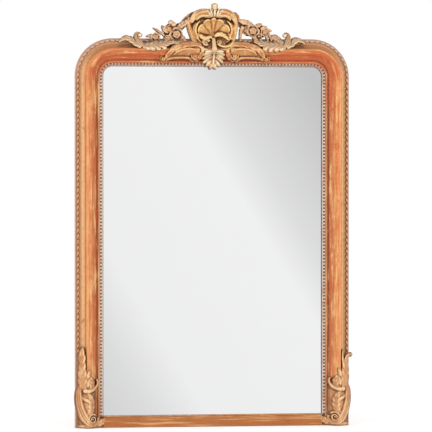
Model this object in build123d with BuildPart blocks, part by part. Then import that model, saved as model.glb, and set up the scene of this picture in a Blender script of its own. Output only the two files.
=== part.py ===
"""Overmantel mirror: a gilt wooden frame with round upper corners, pearl beading, a pierced shell crest
and two leaf-and-scroll corner ornaments at the foot, around a rectangular mirror plate.

Units are millimetres. +Z is up and the front faces -Y. The back of the frame lies in the plane y = 0
and its foot stands on z = 0, with x = 0 at the middle of the frame. A depth is a distance forward of
the back plane, so a point at depth h has y = -h. A reach is a distance inward from the outer edge.
"""

import os
from math import cos, pi, radians, sin

from build123d import *

# ---------------------------------------------------------------- driving dimensions
frame_width = 966.0
frame_height = 1354.0  # to the top of the top rail, without the crest
corner_radius = 130.0  # outer radius of both upper corners
clearance = 0.15  # between pieces that slide into each other
seat_gap = 0.3  # between an applied ornament and the running ornament that it bridges

# the moulding's section: reaches and depths of its members
edge_bevel = 7.0  # of the arris along the outer edge
edging_seat_depth = 30.0
edging_seat_end = 19.5
cove_end = 34.0
cove_top_depth = 60.0
crown_reach = 38.5
crown_depth = 67.0
crown_flat = 4.0
crown_fall = 0.6  # of the flat towards the outer edge
crown_end = 43.0
crown_end_depth = 64.0
ogee_middle_reach = 58.0
ogee_middle_depth = 48.0
ogee_swell = 1.5  # of each half of the ogee, out and then in
ogee_end = 73.0
ogee_end_depth = 32.0
groove_depth = 28.0
groove_end = 77.0
fillet_end = 85.0
bead_seat_depth = 26.0
moulding_width = 97.0

# rebates cut in the back for the mirror plate and the backboards
plate_rebate_reach = 86.0
plate_rebate_depth = 20.0
board_rebate_reach = 70.0
board_rebate_depth = 12.0

# bottom rail, which stands between the stiles
bottom_rail_height = 38.5
bottom_rail_depth = 36.0
bottom_rail_nosing = 7.0
bottom_plate_rebate = 28.0  # height of the plate's rebate above the foot
bottom_board_rebate = 14.0
tenon_length = 50.0
tenon_height = 12.0
tenon_thickness = 10.0
tenon_depth = 23.0  # its middle, forward of the back plane

# loose tongues across the corner joints
tongue_length = 56.0
tongue_width = 40.0
tongue_thickness = 8.0
tongue_reach = 38.0
tongue_depth = 22.0

# mirror plate and what holds it
plate_thickness = 4.0
plate_play = 2.0
board_thickness = 9.0
board_count = 6
board_gap = 1.5
block_length = 60.0
block_width = 12.0
blocks_per_side = 4
blocks_across = 3
nail_length = 22.0
nail_thickness = 2.2
nail_from_end = 8.0
nail_from_joint = 35.0

# pearl beading
bead_pitch = 12.4
bead_radius = 5.3
bead_height = 4.6
bead_sides = 5
ribbon_width = 11.4
ribbon_thickness = 1.4

# running ornament on the outer edge
edging_width = 11.5
edging_height = 7.0

# crest
crest_x = 0.0  # of the crest's middle line
crest_board_width = 116.0
crest_board_height = 108.0
crest_board_drop = 60.0
crest_board_thickness = 11.0
relief_back = 20.0
relief_limit = 130.0  # more than any ornament stands forward
ridge_height = 8.0  # of the ribs over the ornaments' ground
shell_radius = 66.0
shell_centre = (0.0, 10.0)
shell_hinge_depth = 22.0
shell_rim_depth = 46.0
shell_lobes = 9
shell_flute = 9.0  # depth of the flutes at the rim
shell_lobe = 5.0  # how far each lobe swells past the ridges
shell_lip = 3.0

hood_depth = 44.0
finial_thickness = 13.0
finial_x = 2.0

# hangers, let into the backs of the stiles
hanger_height = 1080.0  # of the ring's axis above the foot
hanger_reach = 35.0
pocket_depth = 12.0
pocket_play = 3.0
strap_width = 20.0
strap_length = 52.0
strap_thickness = 1.6
ring_wire = 4.5
ring_inner_width = 27.0
ring_inner_length = 25.0
ring_play = 0.06  # radial clearance of the ring's bar in the knuckle
ring_shoulder = 10.0
screw_radius = 1.9
screw_length = 22.0
screw_head_radius = 3.8
screw_head_height = 2.2
screw_from_end = 8.0
screw_spacing = 20.0
crest_screw_spacing = 80.0
crest_screw_drop = 34.0

# corner ornaments
corner_ornament_zone = 300.0

# ---------------------------------------------------------------- derived positions
half_width = frame_width / 2
stile_length = frame_height - corner_radius
rail_start = -half_width + corner_radius
rail_length = frame_width - 2 * corner_radius
inner_half = half_width - moulding_width
crest = Plane(origin=(crest_x, 0, frame_height), x_dir=(1, 0, 0), z_dir=(0, -1, 0))
left_foot = Plane(origin=(-half_width, 0, 0), x_dir=(1, 0, 0), z_dir=(0, -1, 0))
top_rail_plane = Plane(origin=(rail_start, 0, frame_height), x_dir=(0, 0, -1), z_dir=(1, 0, 0))
stile_plane = Plane(origin=(-half_width, 0, 0), x_dir=(1, 0, 0), z_dir=(0, 0, 1))
corner_axis = Axis((rail_start, 0, stile_length), (0, 1, 0))
hanger_x = -half_width + hanger_reach
knuckle_radius = ring_wire / 2 + ring_play + strap_thickness
ring_axis_depth = pocket_depth - knuckle_radius
strap_back_depth = pocket_depth - strap_thickness
board_floor = bottom_board_rebate
board_ceiling = frame_height - board_rebate_reach
board_half = half_width - board_rebate_reach
bead_middle = (fillet_end + moulding_width) / 2

os.makedirs("parts", exist_ok=True)


# ---------------------------------------------------------------- outlines used more than once
def moulding_outline():
    """The moulding's section as (reach, -depth), without its rebates."""
    with BuildSketch() as outline:
        with BuildLine():
            seat_end = (edging_seat_end, -edging_seat_depth)
            Polyline(
                (moulding_width, 0),
                (0, 0),
                (0, edge_bevel - edging_seat_depth),
                (edge_bevel / 2, -edging_seat_depth),
                seat_end,
            )
            cove_middle = (
                0.35 * edging_seat_end + 0.65 * cove_end,
                -0.62 * edging_seat_depth - 0.38 * cove_top_depth,
            )
            crown_low = (crown_end, -crown_end_depth)
            Polyline(
                seat_end,
                cove_middle,
                (cove_end, -cove_top_depth),
                (crown_reach - crown_flat / 2, -crown_depth + crown_fall),
                (crown_reach + crown_flat / 2, -crown_depth),
                crown_low,
            )
            middle = (ogee_middle_reach, -ogee_middle_depth)
            foot = (ogee_end, -ogee_end_depth)
            upper = (
                (crown_end + ogee_middle_reach) / 2 + ogee_swell,
                -(crown_end_depth + ogee_middle_depth) / 2 - ogee_swell,
            )
            lower = (
                (ogee_middle_reach + ogee_end) / 2 - ogee_swell,
                -(ogee_middle_depth + ogee_end_depth) / 2 + ogee_swell,
            )
            ThreePointArc(crown_low, upper, middle)
            ThreePointArc(middle, lower, foot)
            Polyline(
                foot,
                (ogee_end, -groove_depth),
                (groove_end, -groove_depth),
                (groove_end, -ogee_end_depth),
                (fillet_end, -ogee_end_depth),
                (fillet_end, -bead_seat_depth),
                (moulding_width, -bead_seat_depth),
                (moulding_width, 0),
            )
        make_face()
    return outline.sketch


def edging_outline(play=0.0):
    """The strip of running ornament on its seat, as (reach, -depth)."""
    middle = (edge_bevel + edging_seat_end) / 2
    half = edging_width / 2 + play
    with BuildSketch() as outline:
        with BuildLine():
            crest_line = -edging_seat_depth - edging_height - play
            Polyline(
                (middle - half, -edging_seat_depth),
                (middle - half / 2, crest_line),
                (middle + half / 2, crest_line),
                (middle + half, -edging_seat_depth),
                close=True,
            )
        make_face()
    return outline.sketch


def ribbon_outline(height):
    """The ribbon that the pearls are cast on, as (reach, -depth)."""
    with BuildSketch() as outline:
        with Locations((bead_middle, -bead_seat_depth - height / 2)):
            Rectangle(ribbon_width, height)
    return outline.sketch


def bed_outline():
    """What an ornament laid across the moulding must clear: it touches the section's highest lines."""
    bridge = bead_seat_depth + ribbon_thickness + bead_height + seat_gap
    edging_top = edging_seat_depth + edging_height + seat_gap
    with BuildSketch() as outline:
        with BuildLine():
            Polyline(
                (0, 0),
                (0, -edging_seat_depth),
                (edge_bevel, -edging_top),
                (edging_seat_end, -edging_top),
                (cove_end - seat_gap, -cove_top_depth - seat_gap),
                (crown_reach - crown_flat / 2 - seat_gap, -crown_depth + crown_fall - seat_gap),
                (crown_reach + crown_flat / 2 + seat_gap, -crown_depth - seat_gap),
                (crown_end + seat_gap, -crown_end_depth - 2 * seat_gap),
                (
                    (crown_end + ogee_middle_reach) / 2 + ogee_swell + 2 * seat_gap,
                    -(crown_end_depth + ogee_middle_depth) / 2 - ogee_swell - 2 * seat_gap,
                ),
                (ogee_middle_reach + 2 * seat_gap, -ogee_middle_depth - seat_gap),
                (ogee_end + 0.3, -max(ogee_end_depth, bridge)),
                (moulding_width, -bridge),
                (moulding_width, 0),
                close=True,
            )
        make_face()
    return outline.sketch


def relief_outline(rise):
    """The zone that ornaments fill over the moulding and beyond its outer edge, as (reach, -depth)."""
    with BuildSketch() as outline:
        with BuildLine():
            bridge = bead_seat_depth + ribbon_thickness + bead_height + seat_gap
            Polyline(
                (-corner_radius, -relief_back),
                (-corner_radius, -34 - rise),
                (-60, -42 - rise),
                (0, -54 - rise),
                (crown_reach, -crown_depth - 9 - rise),
                (ogee_middle_reach, -ogee_middle_depth - 14 - rise),
                (ogee_end, -ogee_end_depth - 14 - rise),
                (corner_radius, -42 - rise),
                (corner_radius, -bridge),
                (fillet_end, -bridge),
                (fillet_end, -relief_back),
                close=True,
            )
        make_face()
    return outline.sketch


def both_sides(points, widths):
    """Points on either side of a middle line, half a width away from it."""
    sides = ([], [])
    for i, (here, width) in enumerate(zip(points, widths)):
        before = Vector(*points[max(i - 1, 0)])
        after = Vector(*points[min(i + 1, len(points) - 1)])
        along = (after - before).normalized()
        across = Vector(-along.Y, along.X) * (width / 2)
        sides[0].append(Vector(*here) + across)
        sides[1].append(Vector(*here) - across)
    return sides


def scroll(points, widths):
    """A bent band that swells and tapers along its middle line."""
    one, other = both_sides(points, widths)
    start = Vector(*points[0]) - (Vector(*points[1]) - Vector(*points[0])).normalized() * (widths[0] / 3)
    end = Vector(*points[-1]) + (Vector(*points[-1]) - Vector(*points[-2])).normalized() * (widths[-1] / 3)
    with BuildSketch() as outline:
        with BuildLine():
            Polyline(start, *one, end, *reversed(other), close=True)
        make_face()
    return outline.sketch


def leaf(points, widths):
    """A lobed leaf: each station of the middle line bears a pair of lobes, parted by notches."""
    one, other = both_sides(points, widths)
    tip = Vector(*points[-1]) + (Vector(*points[-1]) - Vector(*points[-2])).normalized() * (widths[-1] / 2)
    corners = []
    for side in (one, other):
        edge = []
        for i, lobe in enumerate(side[:-1]):
            middle = (Vector(*points[i]) + Vector(*points[i + 1])) / 2
            notch = (lobe + side[i + 1]) / 2
            edge += [lobe, middle + (notch - middle) * 0.72]
        corners.append(edge + [side[-1]])
    with BuildSketch() as outline:
        with BuildLine():
            Polyline(*corners[0], tip, *reversed(corners[1]), close=True)
        make_face()
    return outline.sketch


def flower(centre, petal_reach, petal_radius, petals, turn):
    """A rosette of round petals."""
    with BuildSketch() as outline:
        with Locations(centre):
            RegularPolygon(petal_reach, petals)
            with PolarLocations(petal_reach, petals, start_angle=turn):
                RegularPolygon(petal_radius, 7)
    return outline.sketch


def leaflet(length, width):
    """A pointed leaflet that grows from the origin along +y."""
    with BuildSketch() as outline:
        with BuildLine():
            Polyline(
                (-width / 4, 0),
                (-width / 2, 0.65 * length),
                (0, length),
                (width / 2, 0.65 * length),
                (width / 4, 0),
                close=True,
            )
        make_face()
    return outline.sketch


def boss(centre, radius):
    with BuildSketch() as outline:
        with Locations(centre):
            RegularPolygon(radius, 7)
    return outline.sketch


def spiral(centre, start_radius, end_radius, start_angle, turn, steps=7):
    """Points of a volute that winds in towards its centre; angles in degrees."""
    points = []
    for i in range(steps + 1):
        radius = start_radius + (end_radius - start_radius) * i / steps
        angle = radians(start_angle + turn * i / steps)
        points.append((centre[0] + radius * cos(angle), centre[1] + radius * sin(angle)))
    return points


def taper(start, middle, end, count):
    """Widths that run from start over middle to end."""
    half = (count - 1) / 2
    widths = []
    for i in range(count):
        low, high, share = (start, middle, i / half) if i < half else (middle, end, i / half - 1)
        widths.append(low + (high - low) * share)
    return widths


def relief(plane, outline, zone):
    """The part of a relief zone that lies behind an outline on its front."""
    return extrude(plane * outline, amount=relief_limit, mode=Mode.PRIVATE) & zone


def flipped(points):
    """The same points on the other side of the middle."""
    return [(-x, y) for x, y in points]


def screw_plane(x, z, depth):
    """Where a screw's head lies: its axis runs forward from here."""
    return Plane(origin=(x, -depth, z), x_dir=(1, 0, 0), z_dir=(0, -1, 0))


def screw(plane, play=0.0, mode=Mode.ADD):
    """A countersunk wood screw, plain and six-sided; play makes room for it."""
    with BuildPart(mode=Mode.PRIVATE) as body:
        with BuildSketch(Plane.XY):
            RegularPolygon(screw_radius + play, 6)
        extrude(amount=screw_length + play)
        with BuildSketch(Plane.XY):
            RegularPolygon(screw_head_radius + play, 6)
        extrude(amount=screw_head_height, taper=30)
    add(plane * body.part, mode=mode)


def nail_places():
    """Where the backboards' nails go: (x, z) pairs, two at each end of each board."""
    pitch = (board_ceiling - board_floor) / board_count
    for i in range(board_count):
        bottom = board_floor + i * pitch
        for z in (bottom + nail_from_joint, bottom + pitch - nail_from_joint):
            for side in (-1, 1):
                yield side * (board_half - nail_from_end), z


# ---------------------------------------------------------------- wooden carcass
def cut_rebates():
    """Cuts the rebates of the mirror plate and of the backboards in the back."""
    for reach, bottom, depth in (
        (plate_rebate_reach, bottom_plate_rebate, plate_rebate_depth),
        (board_rebate_reach, bottom_board_rebate, board_rebate_depth),
    ):
        top = frame_height - reach
        with Locations((0, -depth / 2, (bottom + top) / 2)):
            Box(frame_width - 2 * reach, depth, top - bottom, mode=Mode.SUBTRACT)


def tongues(play, mode):
    """The loose tongues of the left corner, across the stile's joint and across the rail's."""
    along = tongue_length + 2 * play
    across = tongue_width + 2 * play
    thick = tongue_thickness + 2 * play
    with Locations((-half_width + tongue_reach, -tongue_depth, stile_length)):
        Box(across, thick, along, mode=mode)
    with Locations((rail_start, -tongue_depth, frame_height - tongue_reach)):
        Box(along, thick, across, mode=mode)


def cut_nail_holes():
    size = nail_thickness + 2 * clearance
    bottom = board_rebate_depth - board_thickness + nail_length + clearance
    for x, z in nail_places():
        with Locations((x, -bottom / 2, z)):
            Box(size, bottom, size, mode=Mode.SUBTRACT)


with BuildPart() as left_stile:
    with BuildSketch(stile_plane):
        add(moulding_outline())
    extrude(amount=stile_length)
    cut_rebates()
    tongues(clearance, Mode.SUBTRACT)
    cut_nail_holes()
    with Locations((-inner_half - tenon_length / 2, -tenon_depth, tenon_height / 2)):
        Box(tenon_length, tenon_thickness + 2 * clearance, tenon_height + 2 * clearance, mode=Mode.SUBTRACT)
    pocket_bottom = hanger_height - strap_length - pocket_play
    pocket_top = hanger_height + ring_wire * 1.5 + ring_inner_length + pocket_play
    pocket_width = ring_inner_width + 2 * ring_wire + 2 * pocket_play
    with Locations((hanger_x, -pocket_depth / 2, (pocket_bottom + pocket_top) / 2)):
        Box(pocket_width, pocket_depth, pocket_top - pocket_bottom, mode=Mode.SUBTRACT)
    for z in (screw_from_end, screw_from_end + screw_spacing):
        height = hanger_height - strap_length + z
        screw(screw_plane(hanger_x, height, strap_back_depth), clearance, Mode.SUBTRACT)
left_stile.part.label = "left_stile"
export_step(left_stile.part, "parts/left_stile.step")

with BuildPart() as right_stile:
    mirror(left_stile.part, about=Plane.YZ)
right_stile.part.label = "right_stile"
export_step(right_stile.part, "parts/right_stile.step")

with BuildPart() as corner_blocks:
    with BuildSketch(stile_plane.offset(stile_length)):
        add(moulding_outline())
    revolve(axis=corner_axis, revolution_arc=90)
    cut_rebates()
    tongues(clearance, Mode.SUBTRACT)
    cut_nail_holes()
    mirror(about=Plane.YZ)
corner_blocks.part.label = "corner_blocks"
export_step(corner_blocks.part, "parts/corner_blocks.step")

with BuildPart() as top_rail:
    with BuildSketch(top_rail_plane):
        add(moulding_outline())
    extrude(amount=rail_length)
    cut_rebates()
    tongues(clearance, Mode.SUBTRACT)
    mirror(about=Plane.YZ, mode=Mode.INTERSECT)
    with Locations((crest_x, -crest_board_thickness / 2, frame_height)):
        Box(
            crest_board_width + 2 * clearance,
            crest_board_thickness,
            2 * (crest_board_drop + clearance),
            mode=Mode.SUBTRACT,
        )
    for x in (crest_x - crest_screw_spacing / 2, crest_x + crest_screw_spacing / 2):
        screw(screw_plane(x, frame_height - crest_screw_drop, 0), clearance, Mode.SUBTRACT)
top_rail.part.label = "top_rail"
export_step(top_rail.part, "parts/top_rail.step")

with BuildPart() as bottom_rail:
    with BuildSketch(Plane(origin=(-inner_half, 0, 0), x_dir=(0, 1, 0), z_dir=(1, 0, 0))):
        with BuildLine():
            nosing_low = (-bottom_rail_depth, bottom_rail_height - bottom_rail_nosing)
            nosing_top = (-bottom_rail_depth + bottom_rail_nosing, bottom_rail_height)
            bulge = bottom_rail_nosing * (1 - cos(pi / 4))
            Polyline((0, 0), (-bottom_rail_depth, 0), nosing_low)
            ThreePointArc(
                nosing_low, (-bottom_rail_depth + bulge, bottom_rail_height - bulge), nosing_top
            )
            Polyline(
                nosing_top,
                (-plate_rebate_depth, bottom_rail_height),
                (-plate_rebate_depth, bottom_plate_rebate),
                (-board_rebate_depth, bottom_plate_rebate),
                (-board_rebate_depth, bottom_board_rebate),
                (0, bottom_board_rebate),
                (0, 0),
            )
        make_face()
    extrude(amount=2 * inner_half)
    with Locations((0, -tenon_depth, tenon_height / 2)):
        Box(2 * (inner_half + tenon_length - clearance), tenon_thickness, tenon_height)
bottom_rail.part.label = "bottom_rail"
export_step(bottom_rail.part, "parts/bottom_rail.step")

with BuildPart() as corner_tongues:
    tongues(0, Mode.ADD)
    mirror(about=Plane.YZ)
corner_tongues.part.label = "corner_tongues"
export_step(corner_tongues.part, "parts/corner_tongues.step")

# ---------------------------------------------------------------- running ornament and pearl beading
with BuildPart() as left_edging:
    with BuildSketch(stile_plane):
        add(edging_outline())
    extrude(amount=stile_length)
    with BuildSketch(stile_plane.offset(stile_length)):
        add(edging_outline())
    revolve(axis=corner_axis, revolution_arc=90)
left_edging.part.label = "left_edging"
export_step(left_edging.part, "parts/left_edging.step")

with BuildPart() as right_edging:
    mirror(left_edging.part, about=Plane.YZ)
right_edging.part.label = "right_edging"
export_step(right_edging.part, "parts/right_edging.step")

with BuildPart() as top_edging:
    with BuildSketch(top_rail_plane):
        add(edging_outline())
    extrude(amount=rail_length)
top_edging.part.label = "top_edging"
export_step(top_edging.part, "parts/top_edging.step")

bead_seat = bead_seat_depth + ribbon_thickness
stile_beads = int((stile_length - bottom_rail_height) / bead_pitch)
rail_beads = int(rail_length / bead_pitch)
turn_radius = corner_radius - bead_middle
turn_beads = max(round(turn_radius * pi / 2 / bead_pitch), 1)
with BuildPart() as pearl:
    with BuildSketch() as pearl_seat:
        RegularPolygon(bead_radius, bead_sides)
    loft(sections=[pearl_seat.sketch.face(), Vertex(0, 0, bead_height)])

with BuildPart() as left_beading:
    with BuildSketch(stile_plane.offset(bottom_rail_height)):
        add(ribbon_outline(ribbon_thickness))
    extrude(amount=stile_length - bottom_rail_height)
    with BuildSketch(stile_plane.offset(stile_length)):
        add(ribbon_outline(ribbon_thickness))
    revolve(axis=corner_axis, revolution_arc=90)
    row_start = Plane(origin=(rail_start, -bead_seat, stile_length), x_dir=(1, 0, 0), z_dir=(0, -1, 0))
    with Locations(row_start):
        with Locations((-turn_radius, -stile_beads * bead_pitch / 2)):
            with GridLocations(0, bead_pitch, 1, stile_beads):
                add(pearl.part)
        with PolarLocations(turn_radius, turn_beads, 180 - 45 / turn_beads, -90 + 90 / turn_beads):
            add(pearl.part)
left_beading.part.label = "left_beading"
export_step(left_beading.part, "parts/left_beading.step")

with BuildPart() as right_beading:
    mirror(left_beading.part, about=Plane.YZ)
right_beading.part.label = "right_beading"
export_step(right_beading.part, "parts/right_beading.step")

with BuildPart() as top_beading:
    with BuildSketch(top_rail_plane):
        add(ribbon_outline(ribbon_thickness))
    extrude(amount=rail_length)
    row_middle = Plane(
        origin=(0, -bead_seat, frame_height - bead_middle), x_dir=(1, 0, 0), z_dir=(0, -1, 0)
    )
    with Locations(row_middle):
        with GridLocations(bead_pitch, 0, rail_beads, 1):
            add(pearl.part)
top_beading.part.label = "top_beading"
export_step(top_beading.part, "parts/top_beading.step")

# ---------------------------------------------------------------- mirror plate, backboards and fixings
plate_width = frame_width - 2 * (plate_rebate_reach + plate_play)
plate_bottom = bottom_plate_rebate + plate_play
plate_top = frame_height - plate_rebate_reach - plate_play
plate_back = plate_rebate_depth - plate_thickness
with BuildPart() as mirror_glass:
    with Locations((0, -plate_back - plate_thickness / 2, (plate_bottom + plate_top) / 2)):
        Box(plate_width, plate_thickness, plate_top - plate_bottom)
mirror_glass.part.label = "mirror_glass"
export_step(mirror_glass.part, "parts/mirror_glass.step")

block_depth = (plate_back + board_rebate_depth) / 2
block_side = half_width - plate_rebate_reach - block_width / 2
with BuildPart() as glazing_blocks:
    with Locations((0, -block_depth, (plate_bottom + plate_top) / 2)):
        with GridLocations(2 * block_side, 0, 2, 1):
            with Locations(Plane.XZ):
                with GridLocations(0, (plate_top - plate_bottom) / blocks_per_side, 1, blocks_per_side):
                    Box(block_width, block_length, plate_back - board_rebate_depth)
    for z in (bottom_plate_rebate + block_width / 2, frame_height - plate_rebate_reach - block_width / 2):
        with Locations((0, -block_depth, z)):
            with GridLocations(plate_width / blocks_across, 0, blocks_across, 1):
                Box(block_length, plate_back - board_rebate_depth, block_width)
glazing_blocks.part.label = "glazing_blocks"
export_step(glazing_blocks.part, "parts/glazing_blocks.step")

board_pitch = (board_ceiling - board_floor) / board_count
board_back = board_rebate_depth - board_thickness
for i in range(board_count):
    with BuildPart() as backboard:
        with Locations((0, -board_back - board_thickness / 2, board_floor + (i + 0.5) * board_pitch)):
            Box(2 * (board_half - clearance), board_thickness, board_pitch - board_gap)
        cut_nail_holes()
    backboard.part.label = f"backboard_{i + 1}"
    export_step(backboard.part, f"parts/backboard_{i + 1}.step")

with BuildPart() as backboard_nails:
    for x, z in nail_places():
        with Locations((x, -board_back - nail_length / 2, z)):
            Box(nail_thickness, nail_length, nail_thickness)
backboard_nails.part.label = "backboard_nails"
export_step(backboard_nails.part, "parts/backboard_nails.step")

# ---------------------------------------------------------------- hangers
hanger_plane = Plane(
    origin=(hanger_x - strap_width / 2, 0, 0), x_dir=(0, 1, 0), z_dir=(1, 0, 0)
)
with BuildPart() as left_hanger_strap:
    with BuildSketch(hanger_plane):
        with Locations((-ring_axis_depth, hanger_height)):
            RegularPolygon(knuckle_radius, 12, major_radius=False, rotation=15)
        with Locations(((-pocket_depth - strap_back_depth) / 2, hanger_height - strap_length / 2)):
            Rectangle(strap_thickness, strap_length)
        with Locations((-ring_axis_depth, hanger_height)):
            Circle(ring_wire / 2 + ring_play, mode=Mode.SUBTRACT)
    extrude(amount=strap_width)
    strap_foot = left_hanger_strap.edges().filter_by(Axis.Y).group_by(Axis.Z)[0]
    fillet(strap_foot, radius=screw_from_end * 0.7)
    for z in (screw_from_end, screw_from_end + screw_spacing):
        height = hanger_height - strap_length + z
        screw(screw_plane(hanger_x, height, strap_back_depth), clearance, Mode.SUBTRACT)
left_hanger_strap.part.label = "left_hanger_strap"
export_step(left_hanger_strap.part, "parts/left_hanger_strap.step")

with BuildPart() as right_hanger_strap:
    mirror(left_hanger_strap.part, about=Plane.YZ)
right_hanger_strap.part.label = "right_hanger_strap"
export_step(right_hanger_strap.part, "parts/right_hanger_strap.step")

with BuildPart() as left_hanger_ring:
    ring_half = (ring_inner_width + ring_wire) / 2
    ring_drop = ring_inner_length + ring_wire
    ring_plane = Plane(
        origin=(hanger_x, -ring_axis_depth, hanger_height), x_dir=(1, 0, 0), z_dir=(0, -1, 0)
    )
    with BuildLine(ring_plane) as loop:
        Polyline(
            (0, 0),
            (ring_half, 0),
            (ring_half, -ring_shoulder),
            (0.92 * ring_half, -0.6 * ring_drop),
            (0.65 * ring_half, -0.88 * ring_drop),
            (0, -ring_drop),
            (-0.65 * ring_half, -0.88 * ring_drop),
            (-0.92 * ring_half, -0.6 * ring_drop),
            (-ring_half, -ring_shoulder),
            (-ring_half, 0),
            close=True,
        )
    with BuildSketch(Plane(origin=loop.line @ 0, z_dir=loop.line % 0)):
        RegularPolygon(ring_wire / 2, 8)
    sweep(transition=Transition.RIGHT)
left_hanger_ring.part.label = "left_hanger_ring"
export_step(left_hanger_ring.part, "parts/left_hanger_ring.step")

with BuildPart() as right_hanger_ring:
    mirror(left_hanger_ring.part, about=Plane.YZ)
right_hanger_ring.part.label = "right_hanger_ring"
export_step(right_hanger_ring.part, "parts/right_hanger_ring.step")

with BuildPart() as hanger_screws:
    for z in (screw_from_end, screw_from_end + screw_spacing):
        height = hanger_height - strap_length + z
        screw(screw_plane(hanger_x, height, strap_back_depth))
    mirror(about=Plane.YZ)
hanger_screws.part.label = "hanger_screws"
export_step(hanger_screws.part, "parts/hanger_screws.step")

# ---------------------------------------------------------------- crest: board, shell and hood
with BuildPart() as crest_board:
    with Locations((crest_x, -crest_board_thickness / 2, frame_height - crest_board_drop)):
        Box(
            crest_board_width,
            crest_board_thickness,
            crest_board_height,
            align=(Align.CENTER, Align.CENTER, Align.MIN),
        )
    chamfer(crest_board.edges().filter_by(Axis.Y).group_by(Axis.Z)[-1], length=crest_board_height / 6)
    for x in (crest_x - crest_screw_spacing / 2, crest_x + crest_screw_spacing / 2):
        screw(screw_plane(x, frame_height - crest_screw_drop, 0), clearance, Mode.SUBTRACT)
crest_board.part.label = "crest_board"
export_step(crest_board.part, "parts/crest_board.step")

with BuildPart() as crest_screws:
    for x in (crest_x - crest_screw_spacing / 2, crest_x + crest_screw_spacing / 2):
        screw(screw_plane(x, frame_height - crest_screw_drop, 0))
crest_screws.part.label = "crest_screws"
export_step(crest_screws.part, "parts/crest_screws.step")

with BuildPart() as rail_relief:
    with BuildSketch(top_rail_plane):
        add(relief_outline(0))
    extrude(amount=rail_length)

with BuildPart() as rail_ridges:
    with BuildSketch(top_rail_plane):
        add(relief_outline(ridge_height))
    extrude(amount=rail_length)

with BuildPart() as rail_bed:
    with BuildSketch(top_rail_plane):
        add(bed_outline())
    extrude(amount=rail_length)



def shell_point(turn, radius):
    """A point of the shell's plan; turn in degrees from +x."""
    return Vector(*shell_centre) + Vector(radius, 0).rotate(Axis.Z, turn)


def flank(turn_ridge, turn_valley):
    """One side of a flute: a triangular column whose top slopes from the hinge out to the rim."""
    corners = [
        (Vector(*shell_centre), shell_hinge_depth),
        (shell_point(turn_ridge, shell_radius), shell_rim_depth),
        (shell_point(turn_valley, shell_radius + shell_lobe), shell_rim_depth - shell_flute),
    ]
    top = [crest.from_local_coords((p.X, p.Y, depth)) for p, depth in corners]
    slope = (top[1] - top[0]).cross(top[2] - top[0])
    with BuildPart(mode=Mode.PRIVATE) as column:
        with BuildSketch(crest.offset(crest_board_thickness)):
            with BuildLine():
                Polyline(*[(p.X, p.Y) for p, depth in corners], close=True)
            make_face()
        extrude(amount=shell_rim_depth)
        front = Plane(origin=top[0], z_dir=slope if slope.Y < 0 else -slope)
        split(bisect_by=front, keep=Keep.BOTTOM)
    return column.part


with BuildPart() as crest_shell:
    lobe_turn = 180 / shell_lobes
    for i in range(shell_lobes):
        for side in (0, 1):
            add(flank(lobe_turn * (i + side), lobe_turn * (i + 0.5)))
    with BuildSketch(crest.offset(crest_board_thickness)):
        with BuildLine():
            shell_side = shell_centre[0] + shell_radius
            Polyline(
                (shell_side, shell_centre[1]),
                (shell_side - shell_lobe * 2, shell_lip),
                (shell_centre[0] + shell_lobe * 3, 0),
                (shell_centre[0], shell_lip),
                (shell_centre[0] - shell_lobe * 3, 0),
                (shell_centre[0] * 2 - shell_side + shell_lobe * 2, shell_lip),
                (shell_centre[0] * 2 - shell_side, shell_centre[1]),
                close=True,
            )
        make_face()
    extrude(amount=shell_hinge_depth - crest_board_thickness)
crest_shell.part.label = "crest_shell"
export_step(crest_shell.part, "parts/crest_shell.step")

hood_middle = [(0, 102), (-34, 100), (-58, 91), (-80, 77), (-97, 62)]
hood_web = [(-88, 14), (-92, 60), (-70, 82), (-38, 96), (0, 98), (38, 96), (70, 82), (84, 60), (81, 14)]
with BuildPart() as crest_hood:
    with BuildSketch(crest.offset(crest_board_thickness)):
        with BuildLine():
            Polyline(*hood_web, shell_centre, close=True)
        make_face()
        add(scroll([(-58, 92), (-84, 84), (-104, 68)], (14, 11, 6)))
    extrude(amount=relief_back - crest_board_thickness)
    for points in (hood_middle, flipped(hood_middle)):
        with BuildSketch(crest.offset(crest_board_thickness)):
            add(scroll(points, taper(16, 19, 13, len(points))))
        extrude(amount=hood_depth - crest_board_thickness)
        with BuildSketch(crest.offset(hood_depth)):
            add(scroll(points, taper(6, 8, 5, len(points))))
        extrude(amount=ridge_height)
    add(crest_shell.part, mode=Mode.SUBTRACT)
crest_hood.part.label = "crest_hood"
export_step(crest_hood.part, "parts/crest_hood.step")

with BuildPart() as crest_finial:
    with BuildSketch(crest.offset(hood_depth)):
        with Locations((finial_x, 82)):
            RegularPolygon(11, 6)
        for turn, length in zip((-64, -32, 0, 32, 64), (21, 27, 33, 27, 21)):
            add(Plane(origin=(finial_x, 82)).rotated((0, 0, turn)) * leaflet(length, 11))
        with Locations((finial_x, 119)):
            RegularPolygon(8, 6)
    extrude(amount=finial_thickness)
    with BuildSketch(crest.offset(hood_depth + finial_thickness)):
        with Locations((finial_x, 119)):
            RegularPolygon(6, 6)
        with Locations((finial_x, 97)):
            RegularPolygon(7, 4)
    extrude(amount=ridge_height / 2)
    add(crest_hood.part, mode=Mode.SUBTRACT)
    add(crest_shell.part, mode=Mode.SUBTRACT)
crest_finial.part.label = "crest_finial"
export_step(crest_finial.part, "parts/crest_finial.step")


def jamb(points):
    """A scroll that comes down from the hood's end to the rail and curls in beside the stem."""
    widths = taper(12, 15, 8, len(points))
    add(relief(crest, scroll(points, widths), rail_relief.part))
    add(relief(crest, scroll(points, [0.4 * w for w in widths]), rail_ridges.part))
    add(rail_bed.part, mode=Mode.SUBTRACT)
    add(crest_shell.part, mode=Mode.SUBTRACT)
    add(crest_hood.part, mode=Mode.SUBTRACT)
    add(solids().sort_by(SortBy.VOLUME)[-1], mode=Mode.REPLACE)


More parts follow.
